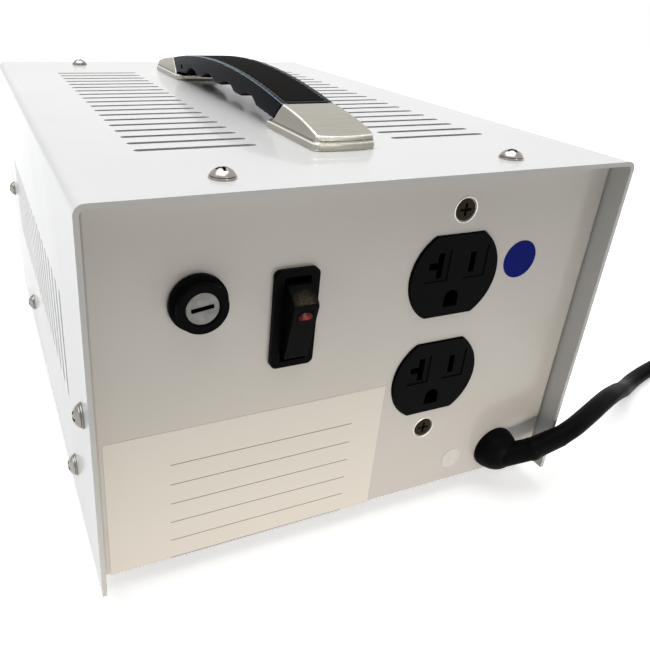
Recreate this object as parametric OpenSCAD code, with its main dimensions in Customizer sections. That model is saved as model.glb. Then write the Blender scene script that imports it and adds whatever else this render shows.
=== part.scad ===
// Step-down autotransformer in a two-piece sheet steel case.
// Origin: middle of the footprint, on the surface that the feet stand on. The front faces -Y.
// A wrap-round cover is screwed to a tray-shaped chassis whose front panel carries the controls.

/* [Case] */
// Width of the cover over its two sides
case_w = 180; // [176:1:240]
// Height of the cover from its lower edge to its top
case_h = 127; // [124:1:170]
// Depth of the cover from its front edge to its rear edge
case_d = 254; // [248:1:320]
// How far the cover stands past the front and rear panels
lip = 7; // [3:0.5:9]
// Thickness of the cover's sheet
cover_t = 1.5; // [1:0.1:2]
// Outside radius of the cover's two folds
cover_fold_r = 3; // [2.2:0.1:5]
// Thickness of the chassis sheet
chassis_t = 1.2; // [1:0.1:1.5]
// Depth of the folded edges behind each panel
flange_d = 12; // [10:0.5:16]
// Height of the folded edges along the base
base_edge_h = 26; // [24:0.5:32]
// Width of the relief cuts beside the folds
relief_w = 3; // [2:0.5:5]

/* [Vents] */
// Number of slots in each group
vent_count = 19; // [9:1:21]
// Distance from one slot to the next
vent_pitch = 9; // [7:0.5:10]
// Width of a slot
vent_w = 2.5; // [1.5:0.1:3.5]
// Length of a slot in the top
top_vent_len = 39.5; // [25:0.5:45]
// Distance from the middle to the near end of the top slots
top_vent_x = 25.5; // [22:0.5:32]
// Length of a slot in the sides
side_vent_len = 40; // [20:0.5:42]
// Height of the lower end of the side slots
side_vent_z = 45; // [42:0.5:50]

/* [Case screws] */
// Radius of the case screws' thread
case_screw_r = 2; // [1.5:0.1:2.4]
// Radius of the case screws' heads
case_head_r = 3.5; // [3:0.1:3.8]
// Height of the case screws' heads
case_head_h = 2.3; // [1.8:0.1:3]
// Length of the case screws under the head
case_screw_len = 9; // [7:0.5:12]
// Radius of the washers under the heads
case_washer_r = 3.9; // [3.8:0.1:5.5]
// Thickness of those washers
case_washer_t = 0.6; // [0.5:0.1:1.2]
// Distance of the top screws from the middle
top_screw_x = 49; // [35:1:60]
// Distance of the edge screws behind the panel's face
edge_screw_in = 6; // [5.9:0.1:7]
// Height of the middle side screws
side_screw_z = 60; // [50:1:75]
// Height of the lower side screws
base_screw_z = 18; // [14:0.5:19]
// Distance of the front lower side screws behind the front panel's face
base_screw_in = 36; // [28:1:50]
// Distance of the rear lower side screws before the rear panel's face
rear_base_screw_in = 70; // [28:1:80]

/* [Feet] */
// Height of a foot
foot_h = 8; // [7.5:0.5:14]
// Radius of a foot where it stands
foot_r = 8.5; // [7.5:0.5:10]
// Radius of a foot where it meets the base
foot_top_r = 9.5; // [8.5:0.5:11]
// Distance of the feet from the case's sides and panels
foot_inset = 20; // [16:1:30]
// Depth of the pocket for the foot's screw
foot_pocket_d = 4; // [3.5:0.1:4.5]

/* [Handle] */
// Width of the grip, and of the caps at their mouths
handle_w = 20; // [17:0.5:22]
// Width of the caps' foot plates
cap_w = 23; // [22:0.5:27]
// Distance from the panel's face to the outer end of a cap
handle_end_in = 25.1; // [22:0.1:32]
// Length of a cap over its top, from its outer end to its mouth
cap_len = 28.9; // [27:0.1:32]
// How far the mouth slants from its top to its foot
mouth_slant = 7; // [4:0.5:9]
// Length of the cap's foot plate
cap_foot_len = 41; // [38:1:44]
// Height of the cap's foot plate
cap_foot_h = 2.6; // [2.2:0.1:3.1]
// Height of the cap at its outer end
cap_low_h = 4.4; // [4.2:0.1:6]
// Height of the cap at its mouth
cap_high_h = 9.6; // [9:0.1:11]
// Wall of a cap
cap_wall = 1.2; // [0.9:0.1:1.5]
// Radius of the cap's outer corners
cap_corner_r = 4; // [3:0.5:7]
// Height of the grip in the middle, over the cover
grip_top_h = 15.5; // [14:0.1:20]
// Height of the grip's underside in the middle
grip_low_h = 6.6; // [6:0.1:7.4]
// Height of the grip's underside at its ends
grip_end_h = 3.3; // [3.2:0.1:4]
// Height of the top of a finger hollow in the middle
scallop_top_h = 8.8; // [8:0.1:9.2]
// Distance from one finger hollow to the next
scallop_pitch = 23; // [20:0.5:25]
// Radius of a finger hollow
scallop_r = 13; // [11:0.5:20]
// Thickness of the steel strip in the grip
strip_t = 1.5; // [1:0.1:1.6]
// Width of the steel strip
strip_w = 13; // [11:0.5:15]
// How far the handle rises when it is pulled
handle_lift = 1.5; // [0.5:0.1:1.5]

/* [Fuse holder] */
// Distance of the fuse holder from the case's left side
fuse_in = 32.3; // [26:0.1:38]
// Distance of the fuse holder below the case's top
fuse_down = 32.5; // [30:0.1:42]
// Radius of its flange
fuse_flange_r = 8.6; // [8:0.1:10]
// Thickness of its flange
fuse_flange_t = 2; // [1.2:0.1:3]
// Radius of its collar
fuse_collar_r = 7.5; // [6.8:0.1:7.9]
// How far the collar stands out of the panel
fuse_collar_h = 5.5; // [4:0.1:7]
// Radius of its barrel
fuse_barrel_r = 6.3; // [6.1:0.1:6.6]
// Length of the barrel behind the panel's face
fuse_barrel_len = 39; // [38.6:0.1:42]
// Radius of the carrier
carrier_r = 4.9; // [4.7:0.1:5.2]
// Radius of the fuse's end caps
fuse_r = 3.2; // [2.5:0.1:3.3]
// Length of the fuse
fuse_len = 31.8; // [30:0.1:32]

/* [Switch] */
// Distance from the fuse holder to the switch
switch_step = 29.7; // [24:0.1:32]
// Distance of the switch below the case's top
switch_down = 42; // [37:0.1:47]
// Width of its frame
switch_w = 14.2; // [13.8:0.1:17]
// Height of its frame
switch_h = 32.1; // [31.8:0.1:34]
// Thickness of its frame
switch_t = 1.9; // [1.2:0.1:2.5]
// Width of the rocker
rocker_w = 7.8; // [7:0.1:8.2]
// Width of the red lens
lens_w = 4.8; // [3.5:0.1:6]
// Height of the red lens
lens_h = 3; // [2:0.1:4]

/* [Outlets] */
// Distance of the double outlet from the case's right side
outlet_in = 60.5; // [56:0.1:68]
// Distance of the middle of the double outlet below the case's top
outlet_down = 55.3; // [53:0.1:59]
// Distance between the two outlet faces
face_pitch = 38.9; // [38:0.1:40]
// Radius of an outlet face
face_r = 17; // [16:0.1:17.5]
// Half height of an outlet face, over its flats
face_half_h = 14.2; // [13.5:0.1:15]
// How far a face stands out of the panel
face_out = 1; // [0.5:0.1:2]
// Distance between the outlet's fixing screws
yoke_pitch = 83.3; // [83:0.1:84]
// Radius of a fixing screw's head
yoke_head_r = 3.6; // [3.2:0.1:4]
// Radius of the pressed ring round a fixing screw
yoke_ring_r = 4.4; // [4.2:0.1:4.8]

/* [Supply cord] */
// Distance of the cord entry from the case's right side
entry_in = 23.5; // [20:0.1:28]
// Height of the cord entry on the panel
entry_z = 11.5; // [11.4:0.1:14]
// Radius of the entry's flange
entry_flange_r = 8.8; // [8.7:0.1:9.6]
// Thickness of the entry's flange
entry_flange_t = 1.6; // [1:0.1:3]
// Diameter of the cord
cord_d = 7.6; // [7:0.1:7.8]
// Turns of cord in each layer of the coil
coil_turns = 2.5; // [2.5:1:3.5]
// Radius of the outermost turn, to the cord's middle
coil_r = 54.5; // [53:0.5:57]

/* [Transformer] */
// Room between the wound ring and the cover's sides
ring_side_gap = 9.5; // [8:0.5:18]
// Room from the front panel back to the wound ring, for the outlets and the wiring
wiring_room = 57.8; // [55:0.1:70]
// Room from the wound ring to the rear panel
rear_room = 21.8; // [15:0.1:30]
// Height of the wound ring
ring_h = 72; // [60:1:74]
// Thickness of the winding on the core's outside and in its hole, as a share of the ring's radius
winding_share = 0.19; // [0.17:0.005:0.22]
// Height of the steel core
core_h = 46; // [40:0.5:50]
// Radius of the hole through the wound ring, as a share of its outer radius
ring_hole_share = 0.266; // [0.24:0.002:0.3]
// Thickness of the rubber pads
pad_t = 2; // [1.5:0.1:3]
// Radius of the clamping plate
plate_r = 50; // [40:1:58]
// Radius of the clamping bolt
bolt_r = 4; // [3:0.1:5]

/* [Labels] */
// Distance of the rating label from the case's left side
label_in = 4; // [4:0.5:10]
// Distance from the rating label to the outlet faces at its right
label_side_gap = 2.8; // [1:0.1:20]
// Distance from the rating label to the switch over it
label_top_gap = 16.45; // [2:0.05:25]
// Radius of the blue dot
dot_r = 6.75; // [4:0.05:8]
// Distance of the blue dot from the case's right side
dot_in = 33.3; // [30:0.1:35]
// Distance of the blue dot below the case's top
dot_down = 33.4; // [27:0.1:42]
// Radius of the small round sticker
sticker_r = 4.3; // [3:0.1:4.6]

/* [Hidden] */
$fn = 64;
fine_fn = 360;

// Overrun of every cut, past the face that it leaves
cut = 1;
// Radial room of a thread or a pin in its hole
thread_gap = 0.05;
// Room round a screw in a clearance hole
screw_gap = 0.25;
// Room between pieces that must not touch
loose_gap = 0.3;
// Side of the cross recess and its depth as shares of a screw head
recess_len_share = 1.15;
recess_w_share = 0.24;
recess_depth_share = 0.55;

// Case
panel_span = case_d - 2 * lip;
front_y = -panel_span / 2;
inner_w = case_w - 2 * cover_t;
inner_h = case_h - cover_t;
case_z = foot_h;
fold_gap = 0.1;
chassis_fold_r = max(cover_fold_r - cover_t, chassis_t) + fold_gap;
top_z = case_z + case_h;
base_top_z = case_z + chassis_t;
// Places on the panel, from its middle and over the case's lower edge
fuse_x = fuse_in - case_w / 2;
fuse_z = case_h - fuse_down;
switch_x = fuse_x + switch_step;
switch_z = case_h - switch_down;
outlet_x = case_w / 2 - outlet_in;
outlet_z = case_h - outlet_down;
entry_x = case_w / 2 - entry_in;
dot_x = case_w / 2 - dot_in;
dot_z = case_h - dot_down;
case_head_rim = 0.5;
clinch_r = 3.4;
clinch_h = 3;
// Feet
foot_x = case_w / 2 - foot_inset;
foot_y = panel_span / 2 - foot_inset;
foot_screw_r = 2;
foot_head_r = 3.6;
foot_head_h = 2.2;
foot_hole_gap = 0.4;
foot_nut_r = 4;
foot_nut_h = 3.2;
foot_nut_stand = 1;
// Handle
handle_half = panel_span / 2 - handle_end_in;
mouth_y = handle_half - cap_len;
boss_r = 2.6;
boss_near = 7;
boss_far = 22;
handle_screw_r = 1.5;
handle_head_r = 3;
handle_head_h = 2;
screw_stop = 2;
grip_gap = 0.4;
pad_w = 15.4;
pad_h = 1.2;
pad_end = 3;
tongue_len = 12;
cap_step = 0.7;
cap_bulge = 0.75;
cap_bow = 1.4;
cap_steps = 8;
strip_mid_h = 11.2;
strip_end_h = 5.5;
// Fuse holder
fuse_nut_r = 9.4;
fuse_nut_h = 4;
carrier_gap = 0.08;
cap_disc_r = 4.8;
cap_disc_t = 2.6;
cap_disc_in = 0.7;
cap_pin_r = 1.4;
cap_pin_len = 2.4;
driver_slot_w = 1.3;
driver_slot_turn = 8;
driver_slot_len = 6.6;
driver_slot_d = 2;
fuse_seat = 3;
carrier_len = 10;
fuse_cap_len = 6;
fuse_cap_wall = 0.35;
fuse_wire_r = 0.25;
fuse_back_gap = 0.4;
tab_w = 4.8;
tab_t = 0.8;
tab_len = 7;
side_tab_in = 12;
// Switch
switch_body_w = 12.2;
switch_body_h = 29.6;
switch_body_d = 22;
switch_corner_r = 2;
well_gap = 0.3;
well_half_h = 13.9;
well_d = 12.5;
pivot_r = 1.2;
pivot_len = 1;
pivot_in = 2;
rocker_top = [3.5, 12.2];
rocker_ridge = [8.8, 7.65];
rocker_low = [4, -11.85];
rocker_back_in = 7;
rocker_back_half = 8;
rocker_waist_in = 3;
rocker_waist_half = 11.3;
ridge_r = 0.7;
lens_down = 3.1;
lens_out = 0.4;
lens_d = 2;
switch_tab_w = 6.3;
switch_tab_pitch = 9.5;
// Outlets
face_gap = 0.3;
body_w = 33;
body_h = face_pitch + 2 * face_half_h + 2 * loose_gap;
strap_t = 1.2;
strap_w = 20;
ear_over = 5;
ear_half = yoke_pitch / 2 + ear_over;
face_plate_in = 4.5;
face_plate_t = 4.5;
back_in = 27;
back_wall = 2.5;
blade_x = 6.35;
blade_up = 4.2;
slot_w = 2.2;
line_slot_h = 7;
neutral_slot_h = 8.6;
tee_len = 4.2;
ground_down = 7.7;
ground_r = 2.75;
ground_flat = 3.2;
recess_d = 0.4;
leaf_t = 0.6;
leaf_gap = 0.5;
leaf_h = 8;
leaf_top_gap = 0.5;
bus_t = 1;
bus_w = 6;
earth_bus_w = 4;
earth_clip_t = 0.7;
terminal_r = 3.4;
terminal_t = 2;
terminal_pin_r = 1.6;
terminal_pin_len = 2;
terminal_in = 17;
yoke_screw_r = 1.7;
yoke_screw_len = 12;
yoke_nut_r = 3.8;
yoke_nut_h = 2.6;
csk_d = 1.2;
ring_d = 0.25;
// Strain relief
stem_r = 6.4;
stem_len = 12;
stem_nut_r = 9.2;
stem_nut_h = 4.5;
dome_r = 8.6;
dome_out = 1;
cord_out = 6;
boot_r = 4.6;
boot_mid_r = 4.25;
boot_knee_r = 4.5;
boot_end_r = 3.95;
boot_bend_x = 8.5;
boot_bend_out = 11;
boot_bend_up = 4.5;
tail_len = 17;
core_wire_ring = 2.3;
// The boot's bend, and the points of the cord's middle line from the boot to the coil. A point is given as its
// distance right of the cord entry, its distance behind the panel's face and its height over the table.
boot_bend = [entry_x + boot_bend_x, front_y - boot_bend_out, case_z + entry_z + boot_bend_up];
cord_route = [
    [21.8, -11.6, 27.3], [29.7, -10.8, 29.6], [42.5, -7, 30.9], [50.5, -4, 30.7], [61.5, 0.5, 29],
    [73.5, 6, 25], [85.5, 12, 19.5], [97.5, 18.5, 13.5], [110.5, 25.5, 8], [123.5, 31.5, 5],
    [137.5, 36, 4], [151.5, 39, 4], [167.5, 40.2, 4.4], [183.5, 40.5, 4.6]
];
cord_points = [for (p = cord_route) [entry_x + p[0], front_y + p[1], p[2]]];
cord_sides = 10;
cord_steps = 4;
cord_start_dir = unit(cord_points[0] - boot_bend);
coil_sides = 6;
coil_rings = 24;
tie_t = 0.8;
tie_w = 7;
tie_gap = 0.8;
tie_floor_t = 0.5;
coil_z = tie_floor_t + loose_gap + cord_d / 2;
coil_pitch = cord_d + 2 * loose_gap;
layer_h = coil_pitch;
coil_x = cord_points[len(cord_points) - 1][0] + cord_d;
coil_y = cord_points[len(cord_points) - 1][1] - coil_r;
// Plug
plug_sleeve_len = 36;
plug_sleeve_r = 4.5;
plug_sleeve_big_r = 8;
plug_len = 32;
plug_w = 35;
plug_corner_r = 9;
plug_z = coil_z + layer_h;
pin_w = 6.35;
pin_t = 1.6;
pin_len = 17.1;
earth_pin_len = 19.9;
pin_ring = 7.92;
earth_pin_ring = 10.3;
// Transformer: the ring lies in the middle of the room that the wiring and the rear panel leave
ring_front_y = front_y + chassis_t + wiring_room;
ring_back_y = panel_span / 2 - chassis_t - rear_room;
ring_y = (ring_front_y + ring_back_y) / 2;
ring_r = min(inner_w / 2 - ring_side_gap, (ring_back_y - ring_front_y) / 2);
ring_hole_r = ring_hole_share * ring_r;
core_r = ring_r - winding_share * ring_r;
core_hole_r = ring_hole_r + winding_share * ring_r;
core_gap = 0.4;
ring_corner_r = 11;
lower_pad_in = 9;
lower_pad_r = ring_r - lower_pad_in;
pad_hole_r = 6;
plate_t = 2;
bolt_head_r = 7;
bolt_head_h = 4.6;
clamp_nut_r = 7.4;
clamp_nut_h = 6.5;
bolt_stand = 3;
// Terminal block and earth stud
block_in = 45;
block_back = 29;
block_x = block_in - case_w / 2;
block_y = front_y + block_back;
block_w = 36;
block_d = 15;
block_h = 13;
block_pitch = 10;
block_head_r = 2.6;
block_bore_r = 1.9;
block_hole_d = 6;
stud_in = 20;
stud_back = 56;
stud_x = case_w / 2 - stud_in;
stud_y = front_y + stud_back;
stud_r = 2.5;
stud_len = 14;
stud_head_r = 4.5;
stud_head_h = 2;
lug_r = 4.6;
lug_t = 1;
stud_nut_r = 4.6;
stud_nut_h = 4;
wire_r = 1.3;
wire_lead = 8;
lane_step = 3.2;
wire_sides = 6;
wire_steps = 3;
// Labels
label_t = 0.15;
label_low = 0.5;
label_x = label_in - case_w / 2;
label_w = outlet_x - face_r - label_side_gap - label_x;
label_h = switch_z - switch_h / 2 - label_top_gap - label_low;
sticker_step = 20.4;
sticker_x = entry_x - sticker_step;
sticker_z = 11.2;

// Smooth line through a list of points, with n steps between neighbours
function smooth(p, n) = [
    for (i = [0 : len(p) - 2])
        for (k = [0 : n - 1])
            let (
                a = p[max(i - 1, 0)],
                b = p[i],
                c = p[i + 1],
                d = p[min(i + 2, len(p) - 1)],
                t = k / n
            )
            0.5 * (2 * b + (c - a) * t + (2 * a - 5 * b + 4 * c - d) * t * t
                + (3 * b - a - 3 * c + d) * t * t * t),
    p[len(p) - 1]
];
function unit(v) = v / norm(v);
// Direction of a line at its point i
function heading(p, i) = unit(p[min(i + 1, len(p) - 1)] - p[max(i - 1, 0)]);
// Turns the side vector s to stay square to the direction d
function square_to(s, d) = unit(s - (s * d) * d);
// Side vectors carried along a line without twist
function sides_along(p, d, s, i = 0) =
    i == len(p) ? [] : let (now = square_to(s, d[i])) concat([now], sides_along(p, d, now, i + 1));
// Rings of points round a line
function tube_rings(p, d, r, n) =
    let (side = sides_along(p, d, abs(d[0][2]) < 0.9 ? [0, 0, 1] : [1, 0, 0]))
    [
        for (i = [0 : len(p) - 1])
            for (k = [0 : n - 1])
                let (a = (k + 0.5) * 360 / n)
                p[i] + r * (cos(a) * side[i] + sin(a) * cross(d[i], side[i]))
    ];
// A closed tube along the points p, with the directions d
module tube(p, d, r, n) {
    m = len(p);
    walls = [
        for (i = [0 : m - 2])
            for (k = [0 : n - 1])
                let (a = i * n + k, b = i * n + (k + 1) % n)
                for (f = [[a, b, b + n], [a, b + n, a + n]]) f
    ];
    caps = [
        for (k = [1 : n - 2])
            for (f = [[0, k + 1, k], [(m - 1) * n, (m - 1) * n + k, (m - 1) * n + k + 1]]) f
    ];
    polyhedron(points = tube_rings(p, d, r, n), faces = [for (f = concat(walls, caps)) [f[2], f[1], f[0]]]);
}
module wire(p, colour) {
    q = smooth(p, wire_steps);
    last = len(q) - 1;
    d = [
        for (i = [0 : last])
            i == 0 ? unit(p[1] - p[0]) : i == last ? unit(p[len(p) - 1] - p[len(p) - 2]) : heading(q, i)
    ];
    color(colour) tube(q, d, wire_r, wire_sides);
}

// Rectangle with round corners, centred
module round_rect(w, h, r) {
    square([w - 2 * r, h], center = true);
    square([w, h - 2 * r], center = true);
    for (x = [-1, 1])
        for (y = [-1, 1])
            translate([x * (w / 2 - r), y * (h / 2 - r)]) circle(r);
}
// Rectangle standing on the line y = 0, with round upper corners
module arch(w, h, r) {
    translate([-w / 2, 0]) square([w, h - r]);
    translate([-w / 2 + r, 0]) square([w - 2 * r, h]);
    for (x = [-1, 1])
        translate([x * (w / 2 - r), h - r]) circle(r);
}
// Block whose twelve edges are round, standing on z = 0
module round_block(w, d, h, r) {
    translate([0, 0, h / 2])
        intersection() {
            linear_extrude(h, center = true) round_rect(w, d, r);
            rotate([90, 0, 0]) linear_extrude(d, center = true) round_rect(w, h, r);
            rotate([90, 0, 90]) linear_extrude(w, center = true) round_rect(d, h, r);
        }
}
// Slot with round ends, along X, cut through a sheet that lies on z = 0
module slot(len, w, t) {
    translate([0, 0, -cut])
        linear_extrude(t + 2 * cut) {
            square([len - w, w], center = true);
            for (s = [-1, 1])
                translate([s * (len - w) / 2, 0]) circle(w / 2, $fn = 24);
        }
}
// Places children on the front panel's face: X across, Y up, Z out of the panel
module on_panel(x, z) {
    translate([x, front_y, case_z + z]) rotate([90, 0, 0]) children();
}
// A hole along Z from z = low to z = high
module bore(r, low, high) {
    translate([0, 0, low]) cylinder(r = r, h = high - low);
}
// Cross recess in the top of a screw head of radius r and height h
module cross_recess(r, h) {
    for (a = [0, 90])
        rotate([0, 0, a])
            translate([-r * recess_len_share / 2, -r * recess_w_share / 2, h - h * recess_depth_share])
                cube([r * recess_len_share, r * recess_w_share, h]);
}
// Round-topped screw head standing on z = 0
module pan_head(r, h) {
    difference() {
        intersection() {
            cylinder(r = r, h = h);
            translate([0, 0, h - 2 * r]) sphere(2 * r);
        }
        cross_recess(r, h);
    }
}
module hex_nut(r, h, hole_r) {
    difference() {
        cylinder(r = r, h = h, $fn = 6);
        bore(hole_r, -cut, h + cut);
    }
}

// Places children at the twelve case screws, Z pointing out of the cover
module at_case_screws() {
    for (end = [-1, 1])
        for (side = [-1, 1]) {
            translate([side * top_screw_x, end * (panel_span / 2 - edge_screw_in), top_z]) children();
            translate([side * case_w / 2, end * (panel_span / 2 - edge_screw_in), case_z + side_screw_z])
                rotate([0, side * 90, 0]) children();
            translate([
                side * case_w / 2,
                end * (panel_span / 2 - (end < 0 ? base_screw_in : rear_base_screw_in)),
                case_z + base_screw_z
            ])
                rotate([0, side * 90, 0]) children();
        }
}
module at_feet() {
    for (x = [-1, 1])
        for (y = [-1, 1])
            translate([x * foot_x, y * foot_y, 0]) children();
}
// Places children at the four handle screws, on the top of the cover
// Domed screw head with a straight rim
module dome_head(r, h, rim) {
    ball_r = (r * r + (h - rim) * (h - rim)) / (2 * (h - rim));
    difference() {
        intersection() {
            cylinder(r = r, h = h);
            translate([0, 0, h - ball_r]) sphere(ball_r);
        }
        cross_recess(r, h);
    }
}
module at_handle_screws() {
    for (end = [-1, 1])
        for (in = [boss_near, boss_far])
            translate([0, end * (handle_half - in), top_z]) children();
}

module cover() {
    color("white")
        difference() {
            translate([0, case_d / 2, case_z])
                rotate([90, 0, 0])
                    linear_extrude(case_d)
                        difference() {
                            arch(case_w, case_h, cover_fold_r);
                            translate([0, -cut]) arch(inner_w, inner_h + cut, cover_fold_r - cover_t);
                        }
            for (i = [0 : vent_count - 1])
                for (side = [-1, 1]) {
                    y = (i - (vent_count - 1) / 2) * vent_pitch;
                    translate([side * (top_vent_x + top_vent_len / 2), y, top_z - cover_t])
                        slot(top_vent_len, vent_w, cover_t);
                    translate([side * case_w / 2, y, case_z + side_vent_z + side_vent_len / 2])
                        rotate([0, side * 90, 0]) translate([0, 0, -cover_t])
                            slot(side_vent_len, vent_w, cover_t);
                }
            at_case_screws() bore(case_screw_r + screw_gap, -cover_t - cut, cut);
            at_handle_screws() bore(handle_screw_r + screw_gap, -cover_t - cut, cut);
        }
}

// The two-dimensional shape of an outlet face
module face_shape(gap) {
    intersection() {
        circle(face_r + gap);
        square([2 * (face_r + gap), 2 * (face_half_h + gap)], center = true);
    }
}
module panel_holes() {
    on_panel(fuse_x, fuse_z) bore(fuse_barrel_r + screw_gap, -chassis_t - cut, cut);
    on_panel(switch_x, switch_z)
        translate([0, 0, -chassis_t - cut])
            linear_extrude(chassis_t + 2 * cut)
                square([switch_body_w + screw_gap, switch_body_h + screw_gap], center = true);
    on_panel(outlet_x, outlet_z) {
        for (s = [-1, 1]) {
            translate([0, s * face_pitch / 2, -chassis_t - cut])
                linear_extrude(chassis_t + 2 * cut) face_shape(face_gap);
            translate([0, s * yoke_pitch / 2, 0]) {
                bore(yoke_head_r + thread_gap, -chassis_t - cut, cut);
                bore(yoke_ring_r, -ring_d, cut);
            }
        }
    }
    on_panel(entry_x, entry_z) bore(stem_r + screw_gap, -chassis_t - cut, cut);
}
module chassis() {
    color("whitesmoke")
        difference() {
            translate([0, 0, case_z]) round_block(inner_w, panel_span, inner_h, chassis_fold_r);
            translate([0, 0, base_top_z])
                round_block(
                    inner_w - 2 * chassis_t,
                    panel_span - 2 * chassis_t,
                    inner_h - 2 * chassis_t,
                    chassis_fold_r - chassis_t
                );
            // Open top and sides between the folded edges
            translate([-case_w / 2, -panel_span / 2 + flange_d, case_z + base_edge_h])
                cube([case_w, panel_span - 2 * flange_d, case_h]);
            // Relief cuts at the corners of the panels and beside the base's edges
            for (end = [-1, 1])
                for (side = [-1, 1]) {
                    translate([
                        side * (inner_w / 2 - relief_w / 2),
                        end * (panel_span / 2 - chassis_fold_r - flange_d / 2),
                        case_z + inner_h - relief_w / 2
                    ])
                        cube([relief_w + cut, flange_d, relief_w + cut], center = true);
                    translate([
                        side * inner_w / 2,
                        end * (panel_span / 2 - flange_d - relief_w / 2),
                        case_z + chassis_fold_r + case_h / 2
                    ])
                        cube([relief_w, relief_w, case_h], center = true);
                }
            panel_holes();
            at_case_screws() bore(case_screw_r + screw_gap, -cover_t - chassis_t - cut, cut);
            at_feet() bore(foot_screw_r + screw_gap, case_z - cut, base_top_z + cut);
            translate([0, ring_y, 0]) bore(bolt_r + screw_gap, case_z - cut, base_top_z + cut);
            translate([stud_x, stud_y, 0]) bore(stud_r + thread_gap, case_z - cut, base_top_z + cut);
        }
}
module cover_screws() {
    color("silver")
        at_case_screws()
            translate([0, 0, case_washer_t]) {
                dome_head(case_head_r, case_head_h, case_head_rim);
                bore(case_screw_r, -case_screw_len, case_head_h * (1 - recess_depth_share));
            }
}
module cover_washers() {
    color("gainsboro")
        at_case_screws()
            difference() {
                bore(case_washer_r, 0, case_washer_t);
                bore(case_screw_r + screw_gap, -cut, case_washer_t + cut);
            }
}
module clinch_nuts() {
    color("silver")
        at_case_screws()
            translate([0, 0, -cover_t - chassis_t - clinch_h])
                difference() {
                    bore(clinch_r, 0, clinch_h);
                    bore(case_screw_r + thread_gap, -cut, clinch_h + cut);
                }
}

module feet() {
    color("dimgray")
        at_feet()
            difference() {
                cylinder(r1 = foot_r, r2 = foot_top_r, h = foot_h);
                bore(foot_head_r + foot_hole_gap, -cut, foot_pocket_d);
                bore(foot_screw_r + foot_hole_gap, -cut, foot_h + cut);
            }
}
module foot_screws() {
    color("silver")
        at_feet() {
            translate([0, 0, foot_pocket_d])
                rotate([180, 0, 0]) pan_head(foot_head_r, foot_head_h);
            bore(
                foot_screw_r,
                foot_pocket_d - foot_head_h * (1 - recess_depth_share),
                base_top_z + foot_nut_h + foot_nut_stand
            );
        }
}
module foot_nuts() {
    color("silver")
        at_feet() translate([0, 0, base_top_z]) hex_nut(foot_nut_r, foot_nut_h, foot_screw_r + thread_gap);
}

// Side outline of a handle cap at its outer end (y < 0), in y and height over the cover. Its top is bowed.
module cap_outline(shrink) {
    end_y = -handle_half + cap_step + shrink;
    foot_y = -mouth_y + mouth_slant * cap_high_h / (cap_high_h - cap_foot_h);
    polygon([
        [end_y, -cut],
        for (k = [0 : cap_steps])
            let (t = k / cap_steps)
            [
                end_y + t * (-mouth_y - end_y),
                cap_low_h + t * (cap_high_h - cap_low_h) + 4 * t * (1 - t) * cap_bulge - shrink
            ],
        [foot_y, -shrink],
        [foot_y, -cut]
    ]);
}
// Outline of the cap's foot plate with its bowed outer end, seen from above, smaller by shrink
module cap_plan(len, shrink) {
    intersection() {
        translate([0, -handle_half + len / 2])
            round_rect(cap_w - 2 * shrink, len - 2 * shrink, cap_corner_r - shrink);
        rotate(180) arc_disc(cap_w / 2, handle_half - shrink, handle_half - shrink - cap_bow, 0);
    }
}
module extrude_across(w) {
    rotate([90, 0, 90]) linear_extrude(w, center = true) children();
}
// The cap's flanks lean in from the foot plate to the mouth's width
module cap_flanks() {
    intersection() {
        linear_extrude(cap_high_h) cap_plan(handle_half, cap_step);
        rotate([90, 0, 0])
            linear_extrude(handle_half)
                polygon([
                    [-cap_w / 2 + cap_step, 0],
                    [cap_w / 2 - cap_step, 0],
                    [handle_w / 2, cap_high_h],
                    [-handle_w / 2, cap_high_h]
                ]);
    }
}
module handle_cap() {
    difference() {
        union() {
            linear_extrude(cap_foot_h) cap_plan(cap_foot_len, 0);
            intersection() {
                extrude_across(cap_w) cap_outline(0);
                cap_flanks();
            }
        }
        // Hollow for the strip's tongue, open at the mouth and below
        intersection() {
            translate([0, 2 * cap_wall, 0]) extrude_across(handle_w) cap_outline(cap_wall);
            translate([0, 0, -cut])
                linear_extrude(cap_high_h + cut) cap_plan(handle_half, (cap_w - handle_w) / 2 + cap_wall);
        }
    }
    for (in = [boss_near, boss_far])
        translate([0, -handle_half + in, 0])
            difference() {
                intersection() {
                    bore(boss_r, 0, cap_high_h);
                    translate([0, handle_half - in, 0]) extrude_across(handle_w) cap_outline(cap_wall / 2);
                }
                bore(handle_screw_r + thread_gap, -cut, screw_stop);
            }
}
module handle_cap_front() {
    color("silver") translate([0, 0, top_z]) handle_cap();
}
module handle_cap_rear() {
    color("silver") translate([0, 0, top_z]) rotate([0, 0, 180]) handle_cap();
}
// Radius of the arc that passes height high in the middle and height low at distance half
function arc_r(half, high, low) = (half * half + (high - low) * (high - low)) / (2 * (high - low));
// Disc whose top passes those heights
module arc_disc(half, high, low, more) {
    r = arc_r(half, high, low);
    translate([0, high - r]) circle(r + more, $fn = fine_fn);
}
module strip_outline(gap) {
    difference() {
        arc_disc(mouth_y, strip_mid_h, strip_end_h, strip_t / 2 + gap);
        arc_disc(mouth_y, strip_mid_h, strip_end_h, -strip_t / 2 - gap);
    }
}
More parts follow.
